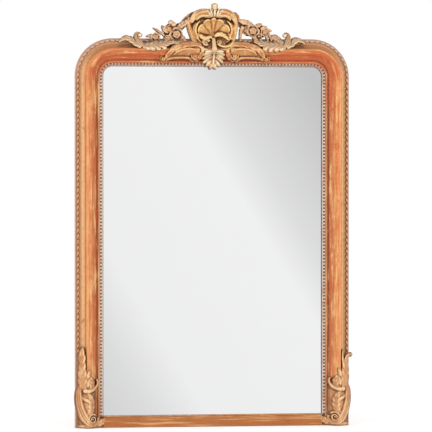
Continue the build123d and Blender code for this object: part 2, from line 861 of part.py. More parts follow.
with BuildPart() as left_jamb_scroll:
    jamb([(-93, 68), (-90, 45), (-84, 18), (-74, -8), (-54, -22), (-32, -19)])
left_jamb_scroll.part.label = "left_jamb_scroll"
export_step(left_jamb_scroll.part, "parts/left_jamb_scroll.step")

with BuildPart() as right_jamb_scroll:
    jamb([(86, 69), (83, 45), (78, 18), (68, -9), (48, -22), (28, -18)])
right_jamb_scroll.part.label = "right_jamb_scroll"
export_step(right_jamb_scroll.part, "parts/right_jamb_scroll.step")

with BuildPart() as crest_stem:
    stem_points = [(-1, 6), (-1, -16), (-1, -36)]
    add(relief(crest, scroll(stem_points, (15, 12, 16)), rail_relief.part))
    add(relief(crest, scroll(stem_points, (6, 5, 7)), rail_ridges.part))
    for side in (-1, 1):
        add(relief(crest, boss((side * 14, -13), 9.5), rail_relief.part))
        add(relief(crest, boss((side * 16, -13), 4.5), rail_ridges.part))
    for neighbour in (rail_bed, crest_shell, left_jamb_scroll, right_jamb_scroll):
        add(neighbour.part, mode=Mode.SUBTRACT)
crest_stem.part.label = "crest_stem"
export_step(crest_stem.part, "parts/crest_stem.step")

with BuildPart() as crest_drop_leaf:
    drop_points = [(-2, -44), (-2, -58), (-2, -74), (-2, -88), (-3, -99)]
    add(relief(crest, leaf(drop_points, (62, 80, 62, 44, 20)), rail_relief.part))
    add(relief(crest, scroll(drop_points, (12, 11, 10, 8, 5)), rail_ridges.part))
    add(rail_bed.part, mode=Mode.SUBTRACT)
    add(crest_stem.part, mode=Mode.SUBTRACT)
crest_drop_leaf.part.label = "crest_drop_leaf"
export_step(crest_drop_leaf.part, "parts/crest_drop_leaf.step")


# ---------------------------------------------------------------- crest: scrolls, leaves and flowers
def on_rail(outlines, ridges, *neighbours):
    """Lays ornament over the rail, cut to the rail and to the pieces that it meets."""
    for outline in outlines:
        add(relief(crest, outline, rail_relief.part))
    for outline in ridges:
        add(relief(crest, outline, rail_ridges.part))
    for neighbour in (rail_bed, *neighbours):
        add(neighbour.part, mode=Mode.SUBTRACT)


with BuildPart() as left_rail_scroll:
    rim = [(-60, -29), (-46, -40), (-50, -58), (-72, -69), (-106, -72), (-138, -75), (-162, -72)]
    cover = [(-68, -25), (-98, -17), (-128, -24), (-150, -42), (-163, -60)]
    on_rail(
        (
            scroll(rim, taper(9, 13, 9, 7)),
            leaf(cover, (12, 20, 25, 24, 18)),
            flower((-175, -72), 8, 6, 5, 18),
        ),
        (scroll(rim, taper(4, 6, 3, 7)), scroll(cover, taper(4, 6, 4, 5)), boss((-175, -72), 5)),
        left_jamb_scroll,
        crest_stem,
        crest_drop_leaf,
    )
left_rail_scroll.part.label = "left_rail_scroll"
export_step(left_rail_scroll.part, "parts/left_rail_scroll.step")

with BuildPart() as right_rail_scroll:
    rim = [(60, -29), (45, -40), (50, -58), (74, -69), (110, -72), (146, -75), (170, -72)]
    cover = [(68, -25), (102, -17), (134, -24), (157, -42), (171, -60)]
    on_rail(
        (
            scroll(rim, taper(9, 13, 9, 7)),
            leaf(cover, (12, 20, 25, 24, 18)),
            flower((183, -72), 8, 6, 5, 18),
        ),
        (scroll(rim, taper(4, 6, 3, 7)), scroll(cover, taper(4, 6, 4, 5)), boss((183, -72), 5)),
        right_jamb_scroll,
        crest_stem,
        crest_drop_leaf,
    )
right_rail_scroll.part.label = "right_rail_scroll"
export_step(right_rail_scroll.part, "parts/right_rail_scroll.step")

with BuildPart() as left_rail_acanthus:
    body = [(-150, -30), (-176, -20), (-208, -25), (-236, -24), (-258, -12), (-264, 8), (-254, 18)]
    outer = [(-258, -20), (-280, -6), (-304, 2), (-326, -8)]
    on_rail(
        (leaf(body, (20, 34, 30, 26, 18, 14, 8)), leaf(outer, (14, 28, 20, 10))),
        (scroll(body, taper(4, 7, 4, 7)), scroll(outer, taper(5, 6, 3, 4))),
        left_rail_scroll,
    )
left_rail_acanthus.part.label = "left_rail_acanthus"
export_step(left_rail_acanthus.part, "parts/left_rail_acanthus.step")

with BuildPart() as right_rail_acanthus:
    body = [(150, -31), (176, -24), (208, -28), (236, -30), (254, -14), (258, 10), (244, 20)]
    outer = [(262, -20), (282, -8), (300, -4), (316, -12)]
    on_rail(
        (leaf(body, (20, 34, 30, 26, 18, 14, 8)), leaf(outer, (14, 26, 18, 10))),
        (scroll(body, taper(4, 7, 4, 7)), scroll(outer, taper(5, 6, 3, 4))),
        right_rail_scroll,
    )
right_rail_acanthus.part.label = "right_rail_acanthus"
export_step(right_rail_acanthus.part, "parts/right_rail_acanthus.step")

with BuildPart() as left_flower_spray:
    link = [(-92, 52), (-112, 60), (-128, 50)]
    upper_leaf = [(-142, 44), (-150, 56), (-152, 66)]
    spray_leaf = [(-168, 16), (-186, 24), (-206, 38)]
    on_rail(
        (
            flower((-142, 27), 16, 14, 5, 18),
            leaf(link, (16, 22, 18)),
            leaf(upper_leaf, (18, 12, 4)),
            leaf(spray_leaf, (14, 18, 6)),
            scroll([(-146, 6), (-150, -8), (-154, -20)], (12, 10, 12)),
            scroll([(-100, 2), (-118, 0), (-134, 10)], (8, 8, 8)),
            scroll([(-84, 0), (-98, 0), (-112, 2)], (8, 8, 8)),
        ),
        (boss((-142, 27), 7), scroll(link, (5, 5, 4))),
        left_jamb_scroll,
        crest_hood,
        left_rail_scroll,
        left_rail_acanthus,
    )
left_flower_spray.part.label = "left_flower_spray"
export_step(left_flower_spray.part, "parts/left_flower_spray.step")

with BuildPart() as right_flower_spray:
    link = [(86, 46), (104, 50), (120, 40)]
    upper_leaf = [(150, 38), (162, 50), (166, 58)]
    spray_leaf = [(150, 27), (178, 34), (200, 31)]
    on_rail(
        (
            flower((133, 31), 15, 13, 5, 30),
            leaf(link, (14, 20, 16)),
            leaf(upper_leaf, (18, 12, 4)),
            leaf(spray_leaf, (16, 18, 6)),
            scroll([(138, 12), (146, -4), (150, -20)], (12, 10, 12)),
            scroll([(162, 22), (172, 4), (176, -12)], (10, 9, 10)),
            scroll([(82, 4), (100, -4), (124, 8)], (8, 8, 8)),
        ),
        (boss((133, 31), 7), scroll(link, (5, 5, 4))),
        right_jamb_scroll,
        crest_hood,
        right_rail_scroll,
        right_rail_acanthus,
    )
right_flower_spray.part.label = "right_flower_spray"
export_step(right_flower_spray.part, "parts/right_flower_spray.step")

with BuildPart() as left_bud:
    on_rail(
        (flower((-208, 8), 9, 8, 5, 54), scroll([(-207, 0), (-206, -12), (-204, -24)], (10, 9, 10))),
        (boss((-208, 8), 4.5),),
        left_rail_acanthus,
        left_flower_spray,
    )
left_bud.part.label = "left_bud"
export_step(left_bud.part, "parts/left_bud.step")

with BuildPart() as right_bud:
    on_rail(
        (flower((212, 3), 9, 8, 5, 20), scroll([(211, -4), (209, -14), (207, -24)], (10, 9, 10))),
        (boss((212, 3), 4.5),),
        right_rail_acanthus,
        right_flower_spray,
    )
right_bud.part.label = "right_bud"
export_step(right_bud.part, "parts/right_bud.step")

# ---------------------------------------------------------------- corner ornaments at the foot
with BuildPart() as stile_relief:
    with BuildSketch(stile_plane):
        add(relief_outline(0))
    extrude(amount=corner_ornament_zone)

with BuildPart() as stile_ridges:
    with BuildSketch(stile_plane):
        add(relief_outline(ridge_height))
    extrude(amount=corner_ornament_zone)

with BuildPart() as stile_bed:
    with BuildSketch(stile_plane):
        add(bed_outline())
    extrude(amount=corner_ornament_zone)
    with Locations((-inner_half, 0, 0)):
        Box(
            corner_radius,
            bottom_rail_depth,
            bottom_rail_height,
            align=(Align.MIN, Align.MAX, Align.MIN),
        )


def on_left_foot(outlines, ridges, *neighbours):
    """Lays ornament over the foot of the left stile."""
    for outline in outlines:
        add(relief(left_foot, outline, stile_relief.part))
    for outline in ridges:
        add(relief(left_foot, outline, stile_ridges.part))
    for neighbour in (stile_bed, *neighbours):
        add(neighbour.part, mode=Mode.SUBTRACT)


def corner_scroll(volute_centre):
    """The C-scroll that wraps the corner and ends in a volute, and the small scroll above it."""
    volute = spiral(volute_centre, 16, 6, 215, 250)
    outer = [(16, 142), (6, 118), (1, 92), (4, 66), (18, 41), (36, 22), *volute[1:]]
    inner = [(10, 120), (30, 124), (50, 131), (68, 139), (78, 151), (71, 163), (62, 158)]
    on_left_foot(
        (
            scroll(outer, taper(11, 14, 8, len(outer))),
            scroll(inner, taper(11, 11, 7, len(inner))),
            boss(volute_centre, 6),
        ),
        (scroll(outer, taper(4, 6, 3, len(outer))), scroll(inner, taper(5, 4, 3, len(inner)))),
    )


with BuildPart() as left_corner_scroll:
    corner_scroll((60, 29))
left_corner_scroll.part.label = "left_corner_scroll"
export_step(left_corner_scroll.part, "parts/left_corner_scroll.step")

with BuildPart() as right_corner_scroll:
    with BuildPart(mode=Mode.PRIVATE) as turned:
        corner_scroll((56, 38))
    mirror(turned.part, about=Plane.YZ)
right_corner_scroll.part.label = "right_corner_scroll"
export_step(right_corner_scroll.part, "parts/right_corner_scroll.step")

leaf_body = [(30, 131), (22, 158), (26, 190), (28, 220), (26, 250), (25, 276)]
with BuildPart() as left_corner_leaf:
    on_left_foot(
        (leaf(leaf_body, (14, 34, 44, 38, 26, 8)),),
        (scroll(leaf_body, taper(5, 9, 3, 6)),),
        left_corner_scroll,
    )
left_corner_leaf.part.label = "left_corner_leaf"
export_step(left_corner_leaf.part, "parts/left_corner_leaf.step")

with BuildPart() as right_corner_leaf:
    with BuildPart(mode=Mode.PRIVATE) as turned:
        on_left_foot(
            (leaf(leaf_body, (14, 34, 44, 38, 26, 8)), scroll([(16, 236), (2, 246), (-6, 255)], (16, 18, 16))),
            (scroll(leaf_body, taper(5, 9, 3, 6)), boss((-4, 252), 6)),
        )
    mirror(turned.part, about=Plane.YZ)
    add(right_corner_scroll.part, mode=Mode.SUBTRACT)
right_corner_leaf.part.label = "right_corner_leaf"
export_step(right_corner_leaf.part, "parts/right_corner_leaf.step")

foot_leaf = [(74, 14), (86, 20), (98, 28), (107, 36)]
with BuildPart() as left_foot_leaf:
    on_left_foot(
        (leaf(foot_leaf, (16, 26, 22, 8)),),
        (scroll(foot_leaf, taper(4, 6, 3, 4)),),
        left_corner_scroll,
    )
left_foot_leaf.part.label = "left_foot_leaf"
export_step(left_foot_leaf.part, "parts/left_foot_leaf.step")

with BuildPart() as right_foot_leaf:
    mirror(left_foot_leaf.part, about=Plane.YZ)
    add(right_corner_scroll.part, mode=Mode.SUBTRACT)
right_foot_leaf.part.label = "right_foot_leaf"
export_step(right_foot_leaf.part, "parts/right_foot_leaf.step")
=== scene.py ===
"""Looks of the overmantel mirror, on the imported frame. Lengths are in mm until a mesh is made."""
from math import atan2, cos, pi, radians, sin
import bpy
import numpy as np
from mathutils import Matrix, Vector


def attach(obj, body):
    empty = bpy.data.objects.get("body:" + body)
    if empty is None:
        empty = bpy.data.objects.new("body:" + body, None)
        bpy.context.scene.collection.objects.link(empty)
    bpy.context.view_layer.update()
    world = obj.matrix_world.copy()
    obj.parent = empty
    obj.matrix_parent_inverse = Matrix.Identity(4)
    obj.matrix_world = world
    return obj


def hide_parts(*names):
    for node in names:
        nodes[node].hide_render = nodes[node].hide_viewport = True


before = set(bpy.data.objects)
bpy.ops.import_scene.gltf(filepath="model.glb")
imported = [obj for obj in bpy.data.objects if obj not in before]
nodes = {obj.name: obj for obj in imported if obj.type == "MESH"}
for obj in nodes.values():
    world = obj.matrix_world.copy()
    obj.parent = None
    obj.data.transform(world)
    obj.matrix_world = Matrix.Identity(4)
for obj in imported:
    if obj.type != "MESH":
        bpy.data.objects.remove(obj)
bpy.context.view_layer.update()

# ---- sizes (mm)
WIDTH, HEIGHT, CORNER = 966, 1354, 130.0  # of the frame and its corners, as in the part
SIDE = WIDTH / 2
TURN = SIDE - CORNER  # where the upper corners begin, from the middle
MOULDING = 97.0  # from the outer edge to the sight edge
RUN_RADIUS = 90.0  # at which lengths round a corner are taken
RAIL_TOP = 38.5  # of the bottom rail
SKIN, SKIN_BACK = 0.35, 0.25  # the gilded skin, out of the moulding and into it
EDGING_PITCH = 20.0
PEARL_PITCH, PEARL_REACH, PEARL_RADIUS = 11.8, 88.2, 4.3
CREST = HEIGHT - 3.0  # from which heights in the crest are taken


# ---- materials
def srgb(*tone):
    """The linear colour of an 8-bit tone."""
    parts = [c / 255 / 12.92 if c < 10.31 else ((c / 255 + 0.055) / 1.055) ** 2.4 for c in tone]
    return (*parts, 1)


class Nodes:
    """Adds nodes to one tree. An input takes a number, a colour or the output of another node."""

    def __init__(self, tree):
        self.tree = tree

    def feed(self, socket, value):
        if isinstance(value, bpy.types.NodeSocket):
            self.tree.links.new(value, socket)
        else:
            socket.default_value = value

    def add(self, kind, inputs=None, **settings):
        node = self.tree.nodes.new("ShaderNode" + kind)
        for name, value in settings.items():
            setattr(node, name, value)
        for key, value in (inputs or {}).items():
            self.feed(node.inputs[key], value)
        return node.outputs

    def math(self, operation, *values):
        return self.add("Math", dict(enumerate(values)), operation=operation)[0]

    def times(self, a, b):
        return self.math("MULTIPLY", a, b)

    def weighted(self, *parts):
        """The sum of factors, each given with its weight."""
        total = 0.0
        for factor, weight in parts:
            total = self.math("MULTIPLY_ADD", factor, weight, total)
        return total

    def place(self, kind="Object", scale=(1, 1, 1), turn=(0, 0, 0)):
        coords = self.add("TexCoord")[kind]
        return self.add("Mapping", {"Vector": coords, "Scale": scale, "Rotation": turn})[0]

    def axes(self, vector):
        return self.add("SeparateXYZ", {0: vector})

    def high(self, span):
        """Height as a share of a span in m."""
        return self.math("DIVIDE", self.axes(self.place())[2], span)

    def upward(self):
        """How far the surface faces up, from -1 to 1."""
        return self.axes(self.add("NewGeometry")["Normal"])[2]

    def noise(self, scale, detail=4.0, rough=0.55, distortion=0.0, kind="Object", turn=(0, 0, 0)):
        """Noise at one scale, or at one for each axis."""
        even = isinstance(scale, (int, float))
        where = self.place(kind, (1, 1, 1) if even else scale, turn)
        inputs = {"Vector": where, "Scale": scale if even else 1, "Detail": detail, "Roughness": rough,
                  "Distortion": distortion}
        return self.add("TexNoise", inputs)["Fac"]

    def ramp(self, factor, *stops):
        """A colour ramp. A stop is a place with a grey level or an 8-bit tone."""
        out = self.add("ValToRGB", {0: factor})[0]
        elements = out.node.color_ramp.elements
        while len(elements) < len(stops):
            elements.new(0.5)
        for element, (at, tone) in zip(elements, stops):
            element.position = at
            element.color = (tone, tone, tone, 1) if isinstance(tone, (int, float)) else srgb(*tone)
        return out

    def mix(self, factor, a, b):
        return self.add("Mix", {0: factor, 6: a, 7: b}, data_type="RGBA")[2]

    def layers(self, colour, *steps):
        """Lays tones over a colour. A step is (factor, where it starts, where it is full, share, tone)."""
        for factor, start, full, share, tone in steps:
            cover = self.ramp(factor, *sorted([(start, 0), (full, share)]))
            colour = self.mix(cover, colour, srgb(*tone))
        return colour

    def rays(self, *kinds):
        """1 for rays of these kinds and 0 for all others."""
        path = self.add("LightPath")
        seen = 0.0
        for kind in kinds:
            seen = self.math("MAXIMUM", seen, path[kind])
        return seen


class Shader(Nodes):
    """The nodes of one material with a Principled shader."""

    def __init__(self, name, metallic=0.0, roughness=0.5):
        self.material = bpy.data.materials.new(name)
        self.material.use_nodes = True
        super().__init__(self.material.node_tree)
        self.inputs = self.tree.nodes["Principled BSDF"].inputs
        self.inputs["Metallic"].default_value = metallic
        self.inputs["Roughness"].default_value = roughness

    def finish(self, colour, roughness=None, bump=None, strength=0.3, distance=0.0006):
        self.feed(self.inputs["Base Color"], colour)
        if bump:
            self.feed(self.inputs["Roughness"], roughness)
            height = self.add("Bump", {"Height": bump, "Strength": strength, "Distance": distance})
            self.feed(self.inputs["Normal"], height[0])
        return self.material


def moulding_gilding():
    """Worn gilding over red bole, banded across and streaked along. UV is (run, reach) in m."""
    paint = Shader("gilding_moulding", metallic=0.2)
    reach = paint.math("DIVIDE", paint.axes(paint.add("UVMap")[0])[1], 0.1)
    # the flat by the edging, a painted highlight on the side of the crown, its orange back, painted shade in
    # the sight groove
    bands = paint.ramp(
        reach, (0, (194, 146, 110)), (0.16, (204, 154, 108)), (0.19, (194, 148, 104)),
        (0.215, (250, 206, 154)), (0.265, (246, 196, 142)), (0.3, (232, 166, 108)), (0.42, (228, 146, 84)),
        (0.57, (220, 140, 84)), (0.66, (202, 118, 74)), (0.7, (164, 88, 50)), (0.775, (156, 84, 50)),
        (0.8, (208, 146, 98)), (0.85, (194, 132, 88)), (0.865, (96, 52, 28)))
    streaks = paint.noise((9, 170, 1), 5, 0.6, kind="UV")
    patches = paint.noise((6, 22, 1), 5, 0.62, 0.8, kind="UV")
    blotches = paint.noise((34, 60, 1), 5, 0.65, 0.5, kind="UV")
    fine = paint.noise((60, 700, 1), 3, 0.6, kind="UV")
    mottle = paint.weighted((streaks, 0.5), (patches, 0.3), (blotches, 0.2))
    # the top rail and the turns have lost more leaf, most of all beside the crest
    high = paint.high(1.5)
    middle = paint.ramp(paint.math("ABSOLUTE", paint.axes(paint.place())[0]), (0.1, 0.045), (0.22, 0))
    middle = paint.times(middle, paint.math("GREATER_THAN", high, 0.85))
    worn = paint.math("ADD", mottle, paint.math("ADD", paint.ramp(high, (0.72, 0), (0.87, 0.075)), middle))
    # how much of the wear each band takes
    zone = paint.ramp(reach, (0.2, 0.1), (0.27, 0.35), (0.42, 0.55), (0.47, 1), (0.66, 1), (0.72, 0.8),
                      (0.85, 0.7), (0.88, 0.1))
    red = paint.times(paint.ramp(worn, (0.5, 0), (0.58, 0.9)), zone)
    pale = paint.times(paint.ramp(mottle, (0.41, 0.9), (0.49, 0)), zone)
    colour = paint.mix(red, bands, srgb(202, 96, 48))
    colour = paint.mix(pale, colour, srgb(246, 196, 130))
    # the last layer darkens faces that look up: painted shade
    colour = paint.layers(
        colour, (fine, 0.56, 0.7, 0.6, (140, 82, 44)),
        (blotches, 0.6, 0.72, 0.5, (150, 92, 54)),
        (paint.upward(), 0.15, 0.75, 0.6, (160, 98, 62)))
    rough = paint.ramp(streaks, (0.3, 0.3), (0.7, 0.52))
    return paint.finish(colour, rough, paint.weighted((streaks, 0.5), (fine, 0.5)), 0.35)


def rail_gilding():
    """The narrow moulding under the plate, banded by height and streaked along, with painted shade at its
    foot and under the glass.
    """
    paint = Shader("gilding_bottom_rail", metallic=0.2)
    # painted shade at the foot and under the glass, the rail's orange between them
    bands = paint.ramp(
        paint.high(0.05), (0, (150, 104, 74)), (0.06, (176, 118, 74)), (0.16, (178, 106, 48)),
        (0.58, (182, 110, 52)), (0.7, (174, 106, 54)), (0.76, (120, 76, 46)))
    streaks = paint.noise((7, 160, 160), 5, 0.6)
    blotches = paint.noise((24, 60, 60), 5, 0.65)
    colour = paint.layers(
        bands, (streaks, 0.48, 0.62, 0.7, (170, 98, 56)),
        (streaks, 0.46, 0.36, 0.7, (228, 174, 120)),
        (blotches, 0.56, 0.7, 0.6, (128, 74, 42)))
    return paint.finish(colour, paint.ramp(streaks, (0.3, 0.34), (0.7, 0.55)), streaks, 0.35)


def raised_gilding(name, stops, aloft, share):
    """Gilding on a running ornament. UV is (run in m, a tone from 0, painted shade in the cuts, to 1, a
    painted highlight on the tops).

    Along the top rail a share of the tone aloft covers it: dust on the ornament, a browner tone on the
    pearls.
    """
    paint = Shader(name, metallic=0.15)
    shade_to_highlight = paint.axes(paint.add("UVMap")[0])[1]
    patches = paint.noise(30, 4, 0.6, 0.4)
    fine = paint.noise(260, 3, 0.6)
    colour = paint.layers(
        paint.ramp(shade_to_highlight, *stops), (patches, 0.5, 0.66, 0.5, (184, 124, 84)),
        (fine, 0.55, 0.72, 0.35, (120, 76, 46)),
        (paint.upward(), 0.15, 0.75, 0.6, (140, 104, 80)),
        (paint.high(1.5), 0.79, 0.85, share, aloft))
    return paint.finish(colour, paint.ramp(fine, (0.3, 0.36), (0.7, 0.6)), fine, 0.25, 0.0005)


def carved_gilding(name, base, lit, worn, deep, grey):
    """Carved gilding: a painted highlight where it stands out, painted shade in its cuts. grey is the share
    of dust on top.
    """
    paint = Shader(name, metallic=0.15)
    relief = paint.add("Attribute", attribute_name="relief")["Fac"]
    level = paint.math("MULTIPLY_ADD", relief, 0.125, 0.5)
    hollow = paint.add("AmbientOcclusion", {"Distance": 0.012}, samples=8)["AO"]
    patches = paint.noise(42, 5, 0.62, 0.5)
    fine = paint.noise(260, 3, 0.6)
    # level lays a painted highlight on raised parts and painted shade on low ones, hollow lays painted shade
    # in the hollows; patches and fine specks are the leaf's own tones
    colour = paint.layers(
        srgb(*base), (patches, 0.46, 0.6, 0.85, worn), (patches, 0.43, 0.34, 0.5, lit),
        (level, 0.54, 0.74, 0.95, lit), (level, 0.42, 0.12, 0.9, deep),
        (hollow, 0.6, 0.15, 0.8, deep), (fine, 0.56, 0.74, 0.35, deep))
    dusty = paint.ramp(paint.upward(), (0.3, 0), (0.8, grey))
    dusty = paint.times(dusty, paint.ramp(patches, (0.3, 0.6), (0.6, 1)))
    colour = paint.mix(dusty, colour, srgb(124, 106, 90))
    rough = paint.ramp(fine, (0.3, 0.36), (0.7, 0.6))
    return paint.finish(colour, rough, paint.math("ADD", patches, fine), 0.3, 0.0007)


def pine(name, turn):
    """Old pine, with its grain along x until it is turned."""
    tone, dark, age = (196, 158, 112), (132, 92, 56), (104, 74, 48)
    paint = Shader(name, roughness=0.7)
    inputs = {"Vector": paint.place("Object", (0.6, 14, 14), turn), "Scale": 4, "Distortion": 5,
              "Detail": 3, "Detail Scale": 1.2}
    rings = paint.add("TexWave", inputs, wave_type="BANDS", bands_direction="Z")["Fac"]
    fibre = paint.noise((12, 420, 420), 3, 0.6, turn=turn)
    colour = paint.mix(paint.times(rings, 0.6), srgb(*tone), srgb(*dark))
    colour = paint.layers(colour, (fibre, 0.5, 0.75, 0.45, dark),
                          (paint.noise(5, 4, 0.6, turn=turn), 0.4, 0.75, 0.6, age))
    return paint.finish(colour, paint.ramp(fibre, (0.3, 0.62), (0.7, 0.85)), fibre)


def metal(name, tone, rust, roughness):
    """Old metal with spots of rust."""
    paint = Shader(name, metallic=0.9)
    spots = paint.noise(120, 5, 0.65)
    colour = paint.layers(srgb(*tone), (spots, 0.48, 0.62, 0.9, rust))
    rough = paint.ramp(spots, (0.4, roughness), (0.65, 0.75))
    return paint.finish(colour, rough, paint.noise(900, 2), 0.2, 0.0004)


def silvering():
    """The silvered plate, with a slight haze."""
    paint = Shader("silvered_glass", metallic=1, roughness=0.015)
    haze = paint.ramp(paint.noise(9, 5, 0.6), (0.45, 0), (0.8, 0.25))
    return paint.finish(paint.mix(haze, (0.868, 0.87, 0.872, 1), (0.85, 0.852, 0.856, 1)))


LOOKS = {
    "moulding": moulding_gilding(),
    "bottom": rail_gilding(),
    # the edging's and pearls' stops run from painted shade in the cuts to a painted highlight on the tops
    "edging": raised_gilding(
        "gilding_edging",
        ((0, (116, 66, 34)), (0.35, (148, 92, 50)), (0.6, (180, 126, 82)), (1, (220, 168, 122))),
        aloft=(225, 205, 190), share=0.28),
    "pearls": raised_gilding(
        "gilding_pearls",
        ((0, (112, 84, 66)), (0.35, (140, 112, 92)), (0.7, (218, 204, 192)), (1, (236, 224, 214))),
        aloft=(150, 92, 52), share=0.5),
    "back": pine("pine_back", (0, 0, 0)),
    "upright": pine("pine_upright", (0, pi / 2, 0)),
    "iron": metal("hanger_iron", (96, 90, 84), (92, 56, 34), 0.42),
    "steel": metal("screw_steel", (150, 146, 140), (96, 70, 50), 0.35),
    "mirror": silvering(),
}
# carved work: the tones of its leaf, of its painted highlight and pale patches, where worn, of its painted
# shade in the cuts and its specks, and its share of dust
for name, *tones in (
        ("pale", (218, 176, 132), (246, 218, 180), (206, 150, 106), (96, 62, 40), 0.7),
        ("gold", (204, 150, 92), (240, 202, 146), (188, 116, 66), (70, 38, 20), 0.6),
        ("shell", (214, 162, 96), (246, 212, 150), (200, 130, 74), (104, 54, 26), 0.4),
        ("leaf", (224, 190, 146), (250, 230, 194), (208, 160, 114), (104, 68, 42), 0.7),
        ("flower", (208, 160, 118), (240, 200, 158), (178, 120, 80), (78, 46, 28), 0.8),
        ("rail", (204, 146, 90), (240, 194, 134), (196, 110, 66), (92, 48, 26), 0.3),
        ("foot", (206, 150, 100), (242, 204, 156), (192, 126, 80), (110, 66, 40), 0.4)):
    LOOKS[name] = carved_gilding("gilding_" + name, *tones)


def coat(mesh, look):
    mesh.materials.clear()
    mesh.materials.append(LOOKS[look])


for look, names in {
        "upright": ["left_stile", "right_stile"], "bottom": ["bottom_rail"], "mirror": ["mirror_glass"],
        "back": ["top_rail", "corner_blocks", "crest_board", "corner_tongues", "glazing_blocks",
                 *(f"backboard_{i}" for i in range(1, 7))],
        "iron": ["backboard_nails", *(f"{side}_hanger_{part}" for side in ("left", "right")
                                      for part in ("strap", "ring"))],
        "steel": ["hanger_screws", "crest_screws"]}.items():
    for name in names:
        coat(nodes[name].data, look)


# ---- mesh helpers
def put(name, data):
    obj = bpy.data.objects.new(name, data)
    bpy.context.scene.collection.objects.link(obj)
    return obj


def piece(name, verts, faces, look, body="frame", uvs=None, replaces=()):
    """One mesh piece. Its points, and a uv for each, are given in mm and become metres."""
    mesh = bpy.data.meshes.new(name)
    mesh.from_pydata((np.asarray(verts, float) / 1000).tolist(), [], faces)
    if uvs is not None:
        layer = mesh.uv_layers.new(name="UVMap")
        index = [loop.vertex_index for loop in mesh.loops]
        layer.data.foreach_set("uv", (np.asarray(uvs, float)[index] / 1000).ravel())
    mesh.update()
    obj = put(name, mesh)
    coat(mesh, look)
    mesh.shade_smooth()
    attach(obj, body)
    if replaces:
        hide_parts(*replaces)
    return obj


def grid_faces(rows, cols, start=0, flip=False, wrap=False):
    """Quads over a grid of points that starts at an index. wrap joins the last column to the first."""
    i, j = np.meshgrid(np.arange(rows - 1), np.arange(cols if wrap else cols - 1), indexing="ij")
    k = (j + 1) % cols
    corners = [i * cols + j, i * cols + k, (i + 1) * cols + k, (i + 1) * cols + j]
    quads = np.stack(corners, -1).reshape(-1, 4) + start
    return (quads[:, ::-1] if flip else quads).tolist()


def lengths(line):
    """How far a line has run at each of its points."""
    return np.concatenate([[0], np.cumsum(np.hypot(*np.diff(line, axis=0).T))])


# ---- moulding
def stations(step=24.0, turns=24, start=0.0):
    """The outer edge from the left foot round to the right one: (x, z, inward x, inward z, run)."""
    straight = HEIGHT - CORNER
    left = [(-SIDE, z, 1, 0, z) for z in np.linspace(start, straight, int(straight / step) + 2)]
    for a in np.linspace(0, pi / 2, turns + 1)[1:]:
        x, z = -TURN - CORNER * cos(a), straight + CORNER * sin(a)
        left.append((x, z, cos(a), -sin(a), straight + RUN_RADIUS * a))
    half = left[-1][4]
    along = np.linspace(-TURN, TURN, int(2 * TURN / step) + 2)[1:-1]
    top = [(x, HEIGHT, 0, -1, half + x + TURN) for x in along]
    whole = 2 * half + 2 * TURN
    return np.array(left + top + [(-x, z, -nx, nz, whole - run) for x, z, nx, nz, run in left[::-1]])


def arc_between(a, b, bulge, n):
    """A curve from a to b that swells by bulge to its left."""
    a, b = np.array(a, float), np.array(b, float)
    d = b - a
    normal = np.array([-d[1], d[0]]) / np.hypot(*d)
    t = np.linspace(0, 1, n)[:, None]
    return a + d * t + normal * bulge * 4 * t * (1 - t)


def section():
    """The moulding's face as (reach, depth), from the outer edge in."""
    edging_seat = [(0, 3), (0, 22.5), (1.2, 26.5), (3.5, 29.8), (5, 30), (19.4, 30), (20, 30.1)]
    cove = arc_between((20.4, 30.6), (34, 60.4), -2.6, 9)
    crown = [(34.8, 64), (36, 66.6), (37.4, 67.6), (38.9, 67.9), (40.6, 67.5), (42, 66.2), (43.2, 64.5)]
    ogee_top = arc_between((43.6, 64), (58.2, 48.2), 2.5, 9)[1:]
    ogee_foot = arc_between((58.2, 48.2), (73, 32.2), -1.7, 8)[1:]
    groove = [(73.2, 28.4), (74, 28), (76.6, 28), (77, 28.4)]
    fillet = [(77, 31), (77.8, 32), (84.2, 32), (85, 31.2), (85, 26.4)]
    pearl_seat = [(85.6, 26), (96, 26), (MOULDING, 25.2), (MOULDING, 20.4)]
    return np.vstack([edging_seat, cove, crown, ogee_top, ogee_foot, groove, fillet, pearl_seat])


def moulding():
    """The gilded skin, in one piece from foot to foot, so that no joint shows."""
    profile = section()
    tangent = np.gradient(profile, axis=0)
    normal = np.stack([-tangent[:, 1], tangent[:, 0]], 1)
    normal /= np.linalg.norm(normal, axis=1)[:, None] + 1e-9
    loop = np.vstack([profile + normal * SKIN, (profile - normal * SKIN_BACK)[::-1]])
    at = stations()
    verts = [(x + nx * reach, -depth, z + nz * reach) for x, z, nx, nz, run in at for reach, depth in loop]
    uvs = [(run, reach) for *_, run in at for reach, depth in loop]
    faces = grid_faces(len(at), len(loop), wrap=True)
    # close the skin at both feet
    for base, flip in ((0, False), ((len(at) - 1) * len(loop), True)):
        for i in range(len(profile) - 1):
            quad = [base + i, base + i + 1, base + len(loop) - 2 - i, base + len(loop) - 1 - i]
            faces.append(quad if flip else quad[::-1])
    piece("moulding_gilding", verts, faces, "moulding", uvs=uvs)


